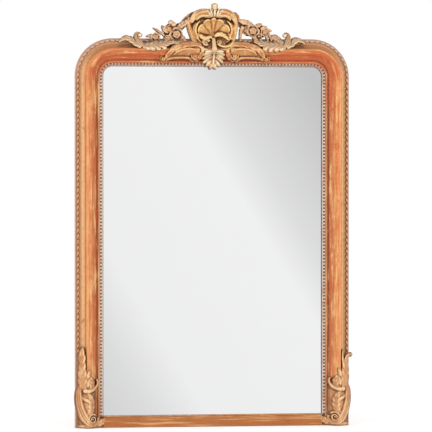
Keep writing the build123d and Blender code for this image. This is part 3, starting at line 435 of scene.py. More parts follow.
def edging():
    """The running ornament: a plain outer band, and leaning scallops with deep cuts between them."""
    band_end, scallop_middle, scallop_half, flat_start = 3.8, 8.4, 6.4, 14.6
    seat, scallop_height, band_height = 30.3, 6.6, 1.2
    lean, reaches = 0.045, np.linspace(1, 18.6, 19)
    at = stations(1.5, 136)
    run = lengths(at[:, :2])
    a, b = np.meshgrid(run, reaches, indexing="ij")
    # the scallops lean the other way on the right half, and swap over softly
    side = np.tanh((run - run[-1] / 2) / 60)[:, None]
    lobe = np.abs(np.cos(pi * (a / EDGING_PITCH + lean * b * side)))
    # each scallop ends round, and the cuts run back to the outer band
    end = 8.2 + 5.6 * lobe ** 0.7
    inside = np.clip((end - b) / 2.2, 0, 1) * np.clip((b - 3.4) / 1.4, 0, 1)
    crown = np.clip(1 - ((b - scallop_middle) / scallop_half) ** 2, 0, 1) ** 0.5
    flat = np.clip((b - flat_start) / 1.6, 0, 1)
    band = np.clip((band_end - b) / 0.8, 0, 1)
    height = seat + scallop_height * inside * crown * (0.55 + 0.45 * lobe) + band_height * band
    height[:, 0], height[:, -1] = 28.6, 29.9
    # the tone: painted shade in the cuts, a painted highlight on the scallops' crowns, mid tones on the band
    # and the flat
    shade_to_highlight = np.clip(0.52 * band + inside * (0.35 + 0.65 * crown * lobe) + 0.56 * flat, 0, 1)
    verts = np.stack([at[:, 0, None] + at[:, 2, None] * b, -height, at[:, 1, None] + at[:, 3, None] * b], -1)
    uvs = np.stack([a, 1000 * shade_to_highlight], -1)
    piece("edging_carved", verts.reshape(-1, 3), grid_faces(len(at), len(reaches)), "edging",
          uvs=uvs.reshape(-1, 2), replaces=["left_edging", "top_edging", "right_edging"])


def beading():
    """Round pearls on a thin ribbon, from foot to foot; the ribbon carries painted shade under them."""
    start, small = RAIL_TOP + 3, CORNER - PEARL_REACH
    up, round_, over = HEIGHT - CORNER - start, small * pi / 2, 2 * TURN
    whole = 2 * (up + round_) + over
    count = int(round(whole / PEARL_PITCH))
    rings, turns, seat, rise = 6, 14, 27.2, 4.7
    dome = [(cos(a), sin(a)) for a in np.linspace(-0.25, pi / 2, rings)]
    verts, uvs, faces = [], [], []
    for i in range(count):
        s = (i + 0.5) * whole / count
        side = -1 if s < whole / 2 else 1
        s = min(s, whole - s)
        if s < up:
            cx, cz = -SIDE + PEARL_REACH, start + s
        elif s < up + round_:
            a = (s - up) / small
            cx, cz = -TURN - small * cos(a), HEIGHT - CORNER + small * sin(a)
        else:
            cx, cz = -TURN + s - up - round_, HEIGHT - PEARL_REACH
        faces += grid_faces(rings, turns, len(verts), wrap=True)
        for r, h in dome:
            for t in [2 * pi * k / turns for k in range(turns)]:
                x, z = -side * cx + PEARL_RADIUS * r * cos(t), cz + PEARL_RADIUS * r * sin(t)
                verts.append((x, -(seat + rise * h), z))
                # each pearl's tone rises with its dome: painted shade at its foot, a painted highlight on top
                uvs.append((s, 1000 * (0.45 + 0.55 * h)))
    # the ribbon as (reach from the pearls' middle, depth): painted shade under them, pale along the sight
    # edge
    ribbon = [(-4.4, 26.2), (-4.2, 27.3), (-1, 27.5), (2.6, 27.5), (4.2, 27.4), (4.8, 27.3), (6.9, 27),
              (7.1, 26.2)]
    at = stations(20, 24, RAIL_TOP + 0.2)
    faces += grid_faces(len(at), len(ribbon), len(verts))
    for x, z, nx, nz, run in at:
        for reach, depth in ribbon:
            verts.append((x + nx * (reach + PEARL_REACH), -depth, z + nz * (reach + PEARL_REACH)))
            uvs.append((run, 800 if reach > 4.5 else 150))
    piece("beading_pearls", verts, faces, "pearls", uvs=uvs,
          replaces=["left_beading", "top_beading", "right_beading"])


def sight_bead():
    """A thin bead along the top of the bottom rail, in front of the glass."""
    end, rows, cols = SIDE - MOULDING - 0.5, 41, 9
    middle, depth, rise, swell = 37.4, 26.5, 4.4, 3.4
    arc = [(middle + rise * sin(a), depth + swell * cos(a)) for a in np.linspace(-0.2, pi, cols)]
    verts = [(x, -y, z) for x in np.linspace(-end, end, rows) for z, y in arc]
    last = (rows - 1) * cols
    ends = [list(range(cols)), list(range(last + cols - 1, last - 1, -1))]
    piece("sight_bead", verts, grid_faces(rows, cols, wrap=True) + ends, "rail")


moulding()
edging()
beading()
sight_bead()

# ---- carving
# the face that carved work follows, as (reach from the outer edge, depth)
DRAPE = ((-30, 32), (-12, 34), (0, 40), (10, 48), (20, 57), (30, 65), (38, 69.5), (46, 66), (58, 54),
         (73, 41), (85, 37), (97, 32), (104, 29), (140, 28))
PLATE_FRONT, AIR_BACK = 22, 21.0  # where carving starts over the plate, and outside the frame


def reach_of(x, z):
    """How far a place lies inside the outer edge; negative outside it."""
    side, top = SIDE - np.abs(x), HEIGHT - z
    corner = CORNER - np.hypot(np.abs(x) - TURN, z - HEIGHT + CORNER)
    return np.where((side < CORNER) & (top < CORNER), corner, np.minimum(side, top))


def drape(x, z):
    return np.interp(reach_of(x, z), *np.array(DRAPE, float).T)


def ground(x, z):
    """The depth at which carved work starts: just inside the moulding's face, or fixed beside it."""
    reach = reach_of(x, z)
    face = section()[2:]
    on = np.interp(reach, face[:, 0], face[:, 1]) - 1.2
    return np.where(reach < 0.5, AIR_BACK, np.where(reach > MOULDING - 0.5, PLATE_FRONT, on))


def smooth(rows, step, lift):
    """A Catmull-Rom curve through rows of (place, place, half width, height, lift or the common one)."""
    rows = np.array([tuple(r) + (lift,) * (5 - len(r)) for r in rows], float)
    p = np.vstack([2 * rows[0] - rows[1], rows, 2 * rows[-1] - rows[-2]])
    out = []
    for a, b, c, d in zip(p, p[1:], p[2:], p[3:]):
        t = np.linspace(0, 1, max(2, int(np.hypot(*(c - b)[:2]) / step)), endpoint=False)[:, None]
        bend, twist = 2 * a - 5 * b + 4 * c - d, 3 * b - a - 3 * c + d
        out.append(0.5 * (2 * b + (c - a) * t + bend * t ** 2 + twist * t ** 3))
    out = np.vstack(out + [rows[-1:]])
    out[:, 2] = np.maximum(out[:, 2], 0.4)
    return out


# A shape gives a band's width and height, as shares, at a run s and a place a from -1 to 1 across.
def domed(s, a):
    return 1, (1 - np.abs(a) ** 2.2) ** 0.5


def reeds(count, deep):
    def shape(s, a):
        return 1, (1 - np.abs(a) ** 5) ** 0.5 * (1 - deep + deep * np.cos(pi * a * count) ** 2)
    return shape


def combed(pitch, notch, deep=0.5):
    """A rib that runs with the leaf, and an edge cut into lobes."""
    def shape(s, a):
        edge = np.abs(np.sin(pi * (s / pitch - 0.6 * np.abs(a)))) ** 0.5
        rib = np.abs(np.cos(pi * a)) ** 0.7
        cut = notch * (1 - edge)
        return 1 - cut, (1 - np.abs(a) ** 6) ** 0.5 * (1 - deep * (1 - rib)) * (1 - 1.4 * cut * np.abs(a))
    return shape


def lobed(pitch, notch=0.2, deep=0.3, slant=0.7, rib=0.2):
    """Lobes along both edges, with grooves between them that run in to a raised midrib."""
    def shape(s, a):
        side = np.abs(a)
        lobe = np.abs(np.sin(pi * (s / pitch - slant * side))) ** 0.6
        body = (1 - side ** 5) ** 0.5 * (0.66 + 0.3 * np.sin(pi * side))
        height = body * (1 - deep * (1 - lobe) * np.clip(2.2 * side, 0, 1))
        return 1 - notch * (1 - lobe), height + rib * np.exp(-(side / 0.14) ** 2)
    return shape


class Carving:
    """Carved work: closed forms that are fused by a fine remesh. Places are (u, v) from the origin."""

    def __init__(self, origin=(0, CREST), flip=1.0):
        self.origin, self.flip = origin, flip
        self.verts, self.faces, self.count = [], [], 0

    def world(self, u, v):
        return self.origin[0] + self.flip * u, self.origin[1] + v

    def level(self, u, v):
        """The depth of the face at one place."""
        return float(drape(*self.world(u, v)))

    def slab(self, u, v, top, bottom):
        """A closed form over a grid of places, between the depths top and bottom."""
        x, z = self.world(u, v)
        rows, cols = x.shape
        n = rows * cols
        bottom = np.broadcast_to(bottom, top.shape)
        top = np.maximum(top, bottom + 0.8)
        self.verts += [np.stack([x, -depth, z], -1).reshape(-1, 3) for depth in (top, bottom)]
        ring = list(range(cols)) + [cols * (i + 1) - 1 for i in range(1, rows)]
        ring += [n - 1 - j for j in range(1, cols)] + [cols * (rows - 1 - i) for i in range(1, rows - 1)]
        walls = [[a, a + n, b + n, b] for a, b in zip(ring, ring[1:] + ring[:1])]
        faces = grid_faces(rows, cols) + grid_faces(rows, cols, n, flip=True) + walls
        self.faces += [[i + self.count for i in f] for f in faces]
        self.count += 2 * n

    def band(self, rows, shape=domed, lift=0, step=1.6, across=20, back=None):
        """A strip along a curve through rows, see smooth. back fixes the depth of its back."""
        c = smooth(rows, step, lift)
        d = np.gradient(c[:, :2], axis=0)
        d /= np.hypot(d[:, 0], d[:, 1])[:, None] + 1e-9
        run = lengths(c[:, :2])
        a = np.linspace(-1, 1, across + 1)[None, :]
        s = run[:, None] + 0 * a
        width, height = shape(s, a + 0 * s)
        reach = c[:, 2:3] * a * width
        ends = np.clip(np.minimum(s, run[-1] - s) / 2.5, 0, 1) ** 0.5
        u, v = c[:, 0:1] - d[:, 1:2] * reach, c[:, 1:2] + d[:, 0:1] * reach
        x, z = self.world(u, v)
        base = ground(x, z) if back is None else back + 0 * u
        self.slab(u, v, drape(x, z) + c[:, 4:5] + c[:, 3:4] * (height * (0.35 + 0.65 * ends)), base)

    def ball(self, u, v, depth, ru, rv, rd, turns=16):
        a = np.linspace(0, pi, turns // 2 + 1)[:, None]
        b = np.linspace(0, 2 * pi, turns, endpoint=False)[None, :]
        x, z = self.world(u + ru * np.sin(a) * np.cos(b), v + rv * np.sin(a) * np.sin(b))
        y = -(depth + rd * np.cos(a) + 0 * b)
        self.verts.append(np.stack([x, y, z], -1).reshape(-1, 3))
        self.faces += grid_faces(turns // 2 + 1, turns, self.count, wrap=True)
        self.count += x.size

    def petal(self, u, v, angle, length, half, level, height, bend=0.0):
        """A cupped petal from (u, v), at the depth level, with a vein and a rolled tip."""
        t, a = np.linspace(0, 1, 11)[:, None], np.linspace(-1, 1, 9)[None, :]
        spread = 0.45 + 0.55 * np.sin(0.5 * pi * np.minimum(t / 0.6, 1))
        tip = np.maximum(1 - np.clip((t - 0.5) / 0.5, 0, 1) ** 2.6, 0.02) ** 0.5
        du, dv = cos(angle), sin(angle)
        side = half * spread * tip * a + bend * length * t ** 2
        pu, pv = u + length * t * du - side * dv, v + length * t * dv + side * du
        rise = 0.15 + 0.6 * t ** 1.2 + 0.25 * np.exp(-((t - 0.84) / 0.14) ** 2) + 0.22 * a ** 2
        vein = 0.28 * np.exp(-(a / 0.17) ** 2) * np.sin(pi * np.clip(t * 1.2, 0, 1))
        self.slab(pu, pv, level + height * (rise - vein), level - max(5, 0.6 * height))

    def field(self, a, b, lift=0.0, swell=0.0, back=None):
        """A ground between two edges of (u, v). back fixes the depths of its back and front."""
        t, w = np.linspace(0, 1, 48)[:, None], np.linspace(0, 1, 16)[None, :]
        (au, av), (bu, bv) = ([np.interp(t, np.linspace(0, 1, len(edge)), line) for line in zip(*edge)]
                              for edge in (a, b))
        u, v = au + (bu - au) * w, av + (bv - av) * w
        x, z = self.world(u, v)
        if back:
            self.slab(u, v, back[1] + 0 * u, back[0])
        else:
            self.slab(u, v, drape(x, z) + lift + swell * np.sin(pi * w), ground(x, z))

    def rose(self, u, v, radius, lift=4.0, turn=0.3):
        """A flower of cupped petals, a smaller ring inside them, and a beaded eye."""
        level = self.level(u, v) + lift
        petals, beads = 5, 7
        for k in range(petals):
            angle = turn + 2 * pi * (k + 0.1 * sin(3.1 * k + u)) / petals
            long = radius * (0.86 + 0.06 * sin(2.3 * k + v))
            root = u + 0.14 * radius * cos(angle), v + 0.14 * radius * sin(angle)
            self.petal(*root, angle, long, 0.5 * radius, level - 1, 0.42 * radius, 0.08)
        if radius > 12:
            for k in range(petals):
                angle = turn + 2 * pi * (k + 0.5) / petals
                self.petal(u, v, angle, 0.52 * radius, 0.26 * radius, level + 0.16 * radius, 0.3 * radius)
        self.ball(u, v, level + 0.22 * radius, 0.17 * radius, 0.17 * radius, 0.2 * radius)
        if radius > 10:
            for t in [2 * pi * k / beads for k in range(beads)]:
                bead = u + 0.22 * radius * cos(t), v + 0.22 * radius * sin(t)
                self.ball(*bead, level + 0.27 * radius, 1.4, 1.4, 1.6, 8)

    def curl(self, u, v, start, turns, big, small, half, height, lift, eye=0.55):
        """A volute that winds in to (u, v) from the angle start, in degrees, with a round eye."""
        rows, count = [], 16
        for t in [i / count for i in range(count + 1)]:
            r, a = big + (small - big) * t ** 0.8, radians(start + 360 * turns * t)
            width, rise = half * (1 - 0.5 * t), height * (0.75 + 0.25 * t)
            rows.append((u + r * cos(a), v + r * sin(a), width, rise, lift + 2.5 * t))
        self.band(rows, step=1.2, across=10)
        self.ball(u, v, self.level(u, v) + lift + height * eye, half * 0.8, half * 0.8, height * 0.7)

    def make(self, replaces, look):
        """Fuses the forms into one skin that stands for a node and is called after it."""
        raw = piece(replaces + "_carved", np.vstack(self.verts), self.faces, look)
        fuse = raw.modifiers.new("remesh", "REMESH")
        fuse.mode, fuse.voxel_size = "VOXEL", 1 / 1000
        soften = raw.modifiers.new("soften", "SMOOTH")
        soften.factor, soften.iterations = 0.5, 2
        mesh = bpy.data.meshes.new_from_object(raw.evaluated_get(bpy.context.evaluated_depsgraph_get()))
        old = raw.data
        raw.modifiers.clear()
        raw.data = mesh
        bpy.data.meshes.remove(old)
        mesh.name = raw.name
        coat(mesh, look)
        mesh.shade_smooth()
        co = np.empty(3 * len(mesh.vertices))
        mesh.vertices.foreach_get("co", co)
        layer = mesh.attributes.new("relief", "FLOAT", "POINT")
        layer.data.foreach_set("value", relief(1000 * co.reshape(-1, 3)))
        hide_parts(replaces)


def relief(co):
    """How far each point stands out: its depth less a local mean of the carving's front."""
    cell, spread = 1.3, 4
    cells = np.floor((co[:, [0, 2]] - co[:, [0, 2]].min(0)) / cell).astype(int) + 2 * spread
    front = np.full(cells.max(0) + 2 * spread + 1, -1.0)
    np.maximum.at(front, (cells[:, 0], cells[:, 1]), -co[:, 1])
    known = (front > 0).astype(float)
    total = front * known
    window = range(-spread, spread + 1)
    for axis in (0, 1, 0, 1):
        total, known = (sum(np.roll(grid, k, axis) for k in window) for grid in (total, known))
    mean = total / np.maximum(known, 1e-9)
    return -co[:, 1] - mean[cells[:, 0], cells[:, 1]]


def scaled(rows, by):
    """The rows with their first places multiplied, to mirror or to stretch them."""
    return [(row[0] * by, *row[1:]) for row in rows]


# shell: seven lobes that fan out from the hinge, a narrow rib, and raised rims
shell = Carving()
ridges = np.array([-26, 14, 50, 80, 100, 130, 166, 206], float)
turns = np.linspace(ridges[0], ridges[-1], 233)
angle, rho = np.radians(turns)[:, None], np.linspace(0.03, 1, 36)[None, :]
flute = np.abs(np.sin(pi * np.interp(turns, ridges, np.arange(len(ridges)))))[:, None]
edge = np.interp(turns, (-26, 0, 45, 90, 135, 180, 206), (56, 61, 64, 66, 64, 61, 56))[:, None]
edge = edge * (0.9 + 0.1 * flute ** 0.6)
depth = 24 + 17 * rho ** 1.3 + 9 * flute ** 0.6 * rho ** 0.5 + 3 * np.exp(-((rho - 0.94) / 0.05) ** 2)
shell.slab(edge * rho * np.cos(angle), 10 + edge * rho * np.sin(angle), depth, 11.5)
inner_rim = [(47, 66, 3, 5, 8), (58, 53, 4.5, 7, 9), (63, 37, 4.8, 7, 9), (62, 20, 4.6, 7, 8),
    (54, 5, 4, 6, 7)]
outer_rim = [(60, 60, 3, 5, 5), (69, 46, 4, 6, 6), (71, 30, 4, 6, 6), (68, 14, 4, 6, 5), (60, 0, 3, 5, 4)]
for sign in (-1, 1):
    shell.band(scaled(inner_rim, sign))
    shell.band(scaled(outer_rim, sign))
shell.band([(-56, 19, 4, 6, 8), (-47, 13, 7, 8, 9), (-36, 5, 8, 9, 8), (-24, 5, 7, 9, 8), (-13, 9, 5.5, 8, 6),
    (-5, 3, 3, 4, 3)], lobed(13))
shell.band([(4, 10, 3.5, 5, 5), (14, 17, 8, 9, 7), (26, 18, 9, 10, 8), (38, 13, 8, 9, 8), (47, 5, 6, 7, 7),
    (52, -2, 3, 4, 5)], lobed(12, 0.22, 0.4))
shell.make("crest_shell", "shell")

# hood: two heavy rolls over the shell on a web, and the long thin leaf behind the left one
hood = Carving()
hood.field([(-90, 52), (-78, 76), (-58, 88), (-30, 97), (0, 99), (30, 97), (58, 88), (74, 76), (85, 50)],
    [(-80, 8), (-60, 4), (-40, 4), (-20, 4), (0, 4), (20, 4), (40, 4), (60, 4), (76, 8)], back=(11.5, 29))
roll = [(12, 99, 7, 9, 10), (27, 97, 11, 13, 11), (42, 95, 12.5, 14, 11), (57, 89, 12.5, 14, 10),
    (68, 80, 11, 13, 9), (75, 69, 8.5, 11, 8), (77, 58, 5, 7, 6)]
inner_roll = [(14, 85, 4, 7, 14), (27, 83, 5.5, 9, 14), (41, 83, 5.5, 9, 13), (54, 76, 4.5, 8, 11),
    (61, 67, 3, 5, 9)]
for sign in (-1, 1):
    hood.band(scaled(roll, sign), combed(40, 0.07, 0.28))
    hood.band(scaled(inner_roll, sign))
hood.band([(-32, 80, 4, 6), (-16, 81, 6.5, 7), (2, 82, 6.5, 7), (18, 81, 6.5, 7), (32, 80, 4, 6)], lift=8)
hood.band([(-58, 97, 4, 6), (-77, 88, 6, 6, -2), (-94, 77, 5, 5, -4), (-109, 66, 2, 3, -5)], combed(14, 0.2))
hood.band([(64, 92, 5, 6, 6), (77, 88, 8, 8, 6), (86, 78, 7, 8, 5), (89, 66, 4, 6, 4)], lobed(11, 0.25, 0.35))
hood.band([(-74, 60, 5, 6, 6), (-86, 66, 7, 8, 5), (-98, 66, 5, 6, 3)], lobed(11, 0.25, 0.35))
hood.make("crest_hood", "gold")

# finial: a bud over a fan of narrow leaves with curled tips
finial = Carving()
finial.ball(2, 118, 50, 12.5, 8.5, 9)
finial.ball(2, 110, 49, 11, 9, 8)
fan = (((-9, 77), (-16, 90), (-23, 99)), ((-5, 77), (-9, 93), (-14, 107)), ((2, 77), (2, 94), (2, 110)),
    ((9, 77), (13, 93), (18, 107)), ((13, 77), (21, 90), (29, 99)))
for k, (base, middle, tip) in enumerate(fan):
    off = abs(k - 2)  # the outer leaves stand lower
    finial.band([base + (4, 6, 14), middle + (5, 10, 16 - off), tip + (4, 9, 13 - off)], back=30)
    finial.ball(*tip, 55 - off, 4.4, 4, 4)
finial.make("crest_finial", "leaf")

# jambs: the scrolls at the sides of the shell; the right one sweeps into a volute under it
jamb = Carving()
jamb.band([(-84, 72, 5, 6, 4), (-88, 56, 7, 9, 5), (-85, 38, 8, 10, 5), (-79, 18, 8, 10, 4),
    (-72, 0, 8, 9, 2), (-62, -13, 7.5, 8), (-50, -24, 6.5, 7), (-38, -30, 4, 6)], combed(40, 0.08, 0.4))
jamb.field([(-72, 50), (-70, 24), (-62, 2), (-50, -12)], [(-56, 44), (-55, 20), (-48, 0), (-38, -10)], 2, 2)
jamb.make("left_jamb_scroll", "gold")
jamb = Carving()
jamb.band([(72, 82, 5, 6, 4), (78, 66, 7, 9, 5), (79, 48, 8, 10, 5), (77, 30, 8, 10, 5), (73, 12, 7.5, 9, 3),
    (66, -5, 6.5, 9, 1)], combed(40, 0.08, 0.4))
jamb.band([(70, 0, 4, 6), (64, -11, 5, 9), (52, -20, 5.4, 10), (37, -24, 5.4, 10), (22, -22, 5, 10),
    (10, -14, 4.6, 9)], lift=3)
jamb.curl(19, -10, 200, -0.95, 9, 4, 4.2, 10, lift=2)
jamb.band([(62, -24, 3, 5), (48, -32, 5, 6), (32, -35, 5, 5, -1), (18, -34, 3, 4, -1)])
jamb.make("right_jamb_scroll", "shell")

# stem with its left volute and small beads, and the drop leaf
stem = Carving()
stem.field([(-48, 4), (-20, 6), (0, 6), (20, 6), (42, 4)], [(-40, -42), (-20, -44), (0, -46), (20, -44),
    (38, -42)], -5)
stem.band([(-1, 7, 5.5, 8, 5), (-1, -6, 6.5, 9, 5), (-1, -18, 7, 9, 3), (-1, -28, 8.5, 9, 1),
    (-1, -37, 11, 9), (-1, -48, 13, 8)])
stem.curl(-29, -12, 20, 0.85, 14, 6, 6.5, 10, lift=2, eye=0.2)
stem.band([(-56, -12, 3, 5), (-49, -26, 5.5, 7), (-37, -35, 5.5, 6), (-22, -37, 3.5, 4)])
stem.make("crest_stem", "foot")

drop = Carving()
drop.band([(-2, -40, 20, 6), (-2, -48, 33, 8), (-2, -60, 34, 9), (-2, -72, 32, 10), (-3, -84, 27, 10),
    (-3, -94, 18, 8), (-3, -101, 8, 5)], lobed(12, 0.2, 0.4, 1.3, 0.1), 1, across=44)
for sign in (-1, 1):
    for root, u, v in ((-42, 35, -44), (-46, 41, -56), (-52, 41, -70), (-60, 38, -84), (-70, 26, -96),
        (-80, 10, -105)):
        drop.band([(-2 + sign * 0.15 * u, root, 3, 6, 3), (-2 + sign * 0.55 * u, 0.6 * root + 0.4 * v, 5, 9,
            4), (-2 + sign * 0.85 * u, 0.2 * root + 0.8 * v, 4.6, 7, 3), (-2 + sign * u, v, 1.2, 4,
            1)], combed(40, 0, 0.3))
drop.band([(-2, -48, 3, 6, 6), (-2, -64, 4, 7, 7), (-2, -82, 4, 7, 7), (-3, -98, 2.5, 5, 6)])
for k in range(14):
    drop.ball(-2 + 4.4 * (k % 7 - 3), -42 - 6 * (k // 7), drop.level(0, -43) + 10.5, 1.9, 1.9, 2.6, 8)
drop.make("crest_drop_leaf", "leaf")

# rail scrolls: a broad leaf round a long golden field, leaves at its foot and a rosette at its tip
cover = [(-46, -22, 7, 7), (-60, -17, 10, 9), (-80, -16, 12, 10), (-102, -18, 13, 11), (-124, -24, 13, 11),
    (-143, -33, 12.5, 10), (-156, -46, 10.5, 9), (-165, -58, 8, 8), (-169, -69, 4.5, 6)]
rim = [(-168, -72, 5, 6), (-150, -67, 5.4, 8), (-126, -65, 5.4, 8), (-102, -65, 5.4, 8), (-86, -67, 6, 8),
    (-70, -74, 4, 6)]
foot_leaf = [(-88, -72, 5, 6), (-70, -72, 10, 9), (-56, -66, 11, 10), (-46, -54, 10, 9), (-43, -40, 7, 8),
    (-46, -30, 3, 6)]
inner_leaf = [(-66, -36, 3, 5), (-86, -33, 4, 7), (-108, -35, 4, 7), (-130, -43, 4, 7), (-144, -55, 3, 5)]
for name, by in (("left", 1), ("right", -1.05)):
    rail = Carving()
    upper = scaled(((52, -22), (80, -18), (104, -22), (128, -30), (146, -42), (158, -62)), -by)
    lower = scaled(((54, -70), (80, -68), (104, -66), (128, -66), (146, -67), (158, -68)), -by)
    rail.field(upper, lower, -0.5, 4.5)
    rail.band(scaled(cover, by), lobed(30, 0.14, 0.3, 0.9, 0.1), 1)
    rail.band(scaled(rim, by), lift=1)
    rail.band(scaled(foot_leaf, by), lobed(13, 0.25, 0.4), 1)
    rail.band(scaled(inner_leaf, by), lift=2)
    rail.rose(-68 * by, -56, 15, 3, turn=0.9)
    rail.rose(-177 * by, -69, 14, 2, turn=0.5)
    rail.make(name + "_rail_scroll", "rail")

# acanthus along the rail: a finger that curls over, the main leaf, its lobes (from one place to another), a
# second leaf outward, and the knob on the finger
left_acanthus = (
    [(-251, -24, 7, 8), (-260, -12, 8.5, 10), (-268, 0, 9, 11, 2), (-272, 10, 8.5, 11, 4),
     (-268, 18, 8, 12, 5), (-259, 18, 6.5, 11, 5)],
    [(-254, -26, 8, 7), (-240, -24, 13, 10), (-222, -22, 16, 11), (-202, -20, 17, 11), (-182, -16, 16, 11),
     (-164, -12, 13, 10), (-150, -11, 8, 8), (-140, -14, 4, 5)],
    ((-240, -24, -228, -41), (-222, -26, -212, -44), (-203, -26, -192, -42), (-184, -22, -170, -36)),
    [(-256, -26, 7, 6), (-268, -20, 11, 9), (-282, -9, 12.5, 10), (-296, 1, 12, 10, 2), (-310, 4, 10, 9, 2),
     (-324, -2, 6, 7), (-334, -10, 3, 4)],
    (-259, 14))
right_acanthus = (
    [(249, -24, 7, 8), (256, -13, 8.5, 10), (262, -2, 9, 11, 2), (265, 8, 8.5, 11, 4), (261, 18, 8, 12, 5),
     (252, 19, 6.5, 11, 5)],
    [(252, -26, 8, 7), (238, -24, 13, 10), (220, -22, 16, 11), (200, -21, 17, 11), (180, -17, 16, 11),
     (164, -12, 13, 10), (150, -8, 8, 8), (140, -6, 4, 5)],
    ((240, -24, 230, -43), (222, -26, 212, -46), (202, -28, 192, -48), (184, -24, 170, -40)),
    [(253, -26, 7, 6), (264, -21, 11, 9), (277, -11, 12.5, 10), (289, -2, 12, 10, 2), (300, 0, 10, 9, 2),
     (312, -6, 6, 7), (321, -13, 3, 4)],
    (250, 15))
for name, (finger, leaf, lobes, second, knob) in (("left", left_acanthus), ("right", right_acanthus)):
    spray = Carving()
    spray.band(leaf, lobed(17, 0.22, 0.45, 0.9))
    for au, av, bu, bv in lobes:
        middle = 0.4 * au + 0.6 * bu, 0.4 * av + 0.6 * bv
        spray.band([(au, av, 8, 8, 1), (*middle, 8, 9, 1), (bu, bv, 2.5, 5, 0)], combed(40, 0, 0.35))
    spray.band(second, lobed(19, 0.24, 0.42, 0.8))
    spray.band(finger, reeds(1.5, 0.4))
    spray.ball(*knob, 48, 8, 7.5, 9)
    spray.make(name + "_rail_acanthus", "pale")

# flower sprays: crowded flowers and leaves on a low ground, with an arm up to the hood
spray = Carving()
spray.field([(-172, 42), (-158, 56), (-140, 54), (-124, 50), (-104, 60), (-86, 72)], [(-176, -4), (-158, -8),
    (-140, -10), (-122, -8), (-112, 30), (-84, 56)], -2)
for flower in ((-131, 17, 25, 5, 0.5), (-156, 35, 16, 5, 0.2), (-161, 3, 13, 4, 0.8), (-124, 43, 13, 5, 0.4)):
    spray.rose(*flower)
spray.ball(-151, 59, 44, 10, 8, 9)
spray.ball(-141, 52, 44, 9, 8, 8)
spray.band([(-162, 24, 6, 6, 3), (-171, 33, 9, 8, 4), (-178, 43, 6, 7, 3), (-181, 49, 2, 4, 2)], lobed(12))
spray.band([(-128, 38, 7, 7, 5), (-114, 49, 11, 10, 6), (-100, 58, 11, 10, 6), (-88, 66, 8, 8, 5),
    (-80, 71, 4, 5, 3)], lobed(14, 0.2, 0.35))
spray.band([(-116, 14, 5, 7, 4), (-107, 6, 7, 8, 3), (-100, -4, 4, 5, 2)], lobed(12))
spray.band([(-148, -4, 6, 7, 2), (-136, -11, 7, 7, 2), (-122, -10, 7, 7, 1), (-106, -7, 6, 6),
    (-90, -8, 4, 4)], lobed(13, 0.25, 0.35))
spray.band([(-172, 12, 4, 6, 3), (-182, 20, 4, 5, 2), (-194, 22, 3, 4, 2)])
spray.band([(-166, 2, 6, 6, 3), (-168, -9, 6, 5, 2), (-166, -18, 4, 4)])
spray.make("left_flower_spray", "flower")

spray = Carving()
spray.field([(84, 68), (104, 66), (124, 62), (144, 54), (158, 50), (176, 44), (194, 36)], [(84, 52),
    (104, 34), (116, 14), (136, 12), (156, 4), (170, 6), (192, 14)], -2)
for flower in ((139, 31, 23, 5, 0.9), (117, 32, 15, 4, 0.2), (183, 27, 16, 4, 0.6), (160, 12, 12, 3, 0.5)):
    spray.rose(*flower)
spray.band([(136, 52, 7, 8, 4), (122, 58, 10, 9, 5), (106, 62, 10, 9, 5), (92, 67, 6, 6, 3),
    (80, 71, 4, 4, 3)], lobed(14, 0.2, 0.35))
spray.band([(148, 46, 6, 6), (160, 50, 8, 7), (172, 54, 5, 6, 3)], lobed(12), 4)
spray.band([(166, 36, 5, 6), (178, 41, 9, 8), (190, 42, 6, 6, 3)], lobed(12), 4)
spray.band([(188, 34, 5, 6, 4), (199, 33, 5, 6, 2), (207, 31, 2, 3, 1)])
spray.band([(104, 48, 5, 7, 3), (98, 32, 6.5, 7, 3), (96, 16, 5.5, 6, 2), (94, 2, 4, 5, 1), (93, -8, 3, 4)],
    lobed(13))
spray.band([(144, 10, 7, 7, 3), (150, -2, 8, 7, 1), (156, -12, 6, 6)], lobed(12))
spray.band([(164, 4, 5, 6, 2), (170, -5, 5, 5, 1), (174, -13, 4, 4)])
spray.band([(188, 16, 5, 6, 3), (190, 4, 4, 5, 1), (191, -9, 3, 4)])
spray.band([(194, 24, 5, 6, 3), (202, 10, 5, 5, 2), (206, -4, 4, 4)])
spray.make("right_flower_spray", "flower")

# buds
bud = Carving()
bud.rose(-205, 7, 17, 4, turn=0.1)
bud.band([(-208, 8, 7, 7, 4), (-220, 12, 7.5, 7, 4), (-230, 11, 4.5, 5, 3), (-237, 9, 2, 3, 2)], lobed(11))
bud.band([(-180, 22, 3, 4, 2), (-192, 27, 5, 6, 3), (-203, 34, 4, 5, 2), (-213, 40, 1.5, 3, 1)])
bud.band([(-206, -4, 7, 6, 2), (-203, -12, 7, 5, 1), (-198, -18, 4, 4)])
bud.make("left_bud", "flower")
bud = Carving()
bud.band([(202, 4, 6, 6, 3), (212, 9, 11, 9, 4), (224, 5, 11, 9, 4), (236, -4, 8, 7, 3), (247, -12, 4, 4, 1)],
    lobed(15, 0.2, 0.35))
bud.band([(210, -4, 6, 5, 1), (222, -10, 6, 6, 1), (242, -14, 4, 4)])
bud.make("right_bud", "flower")

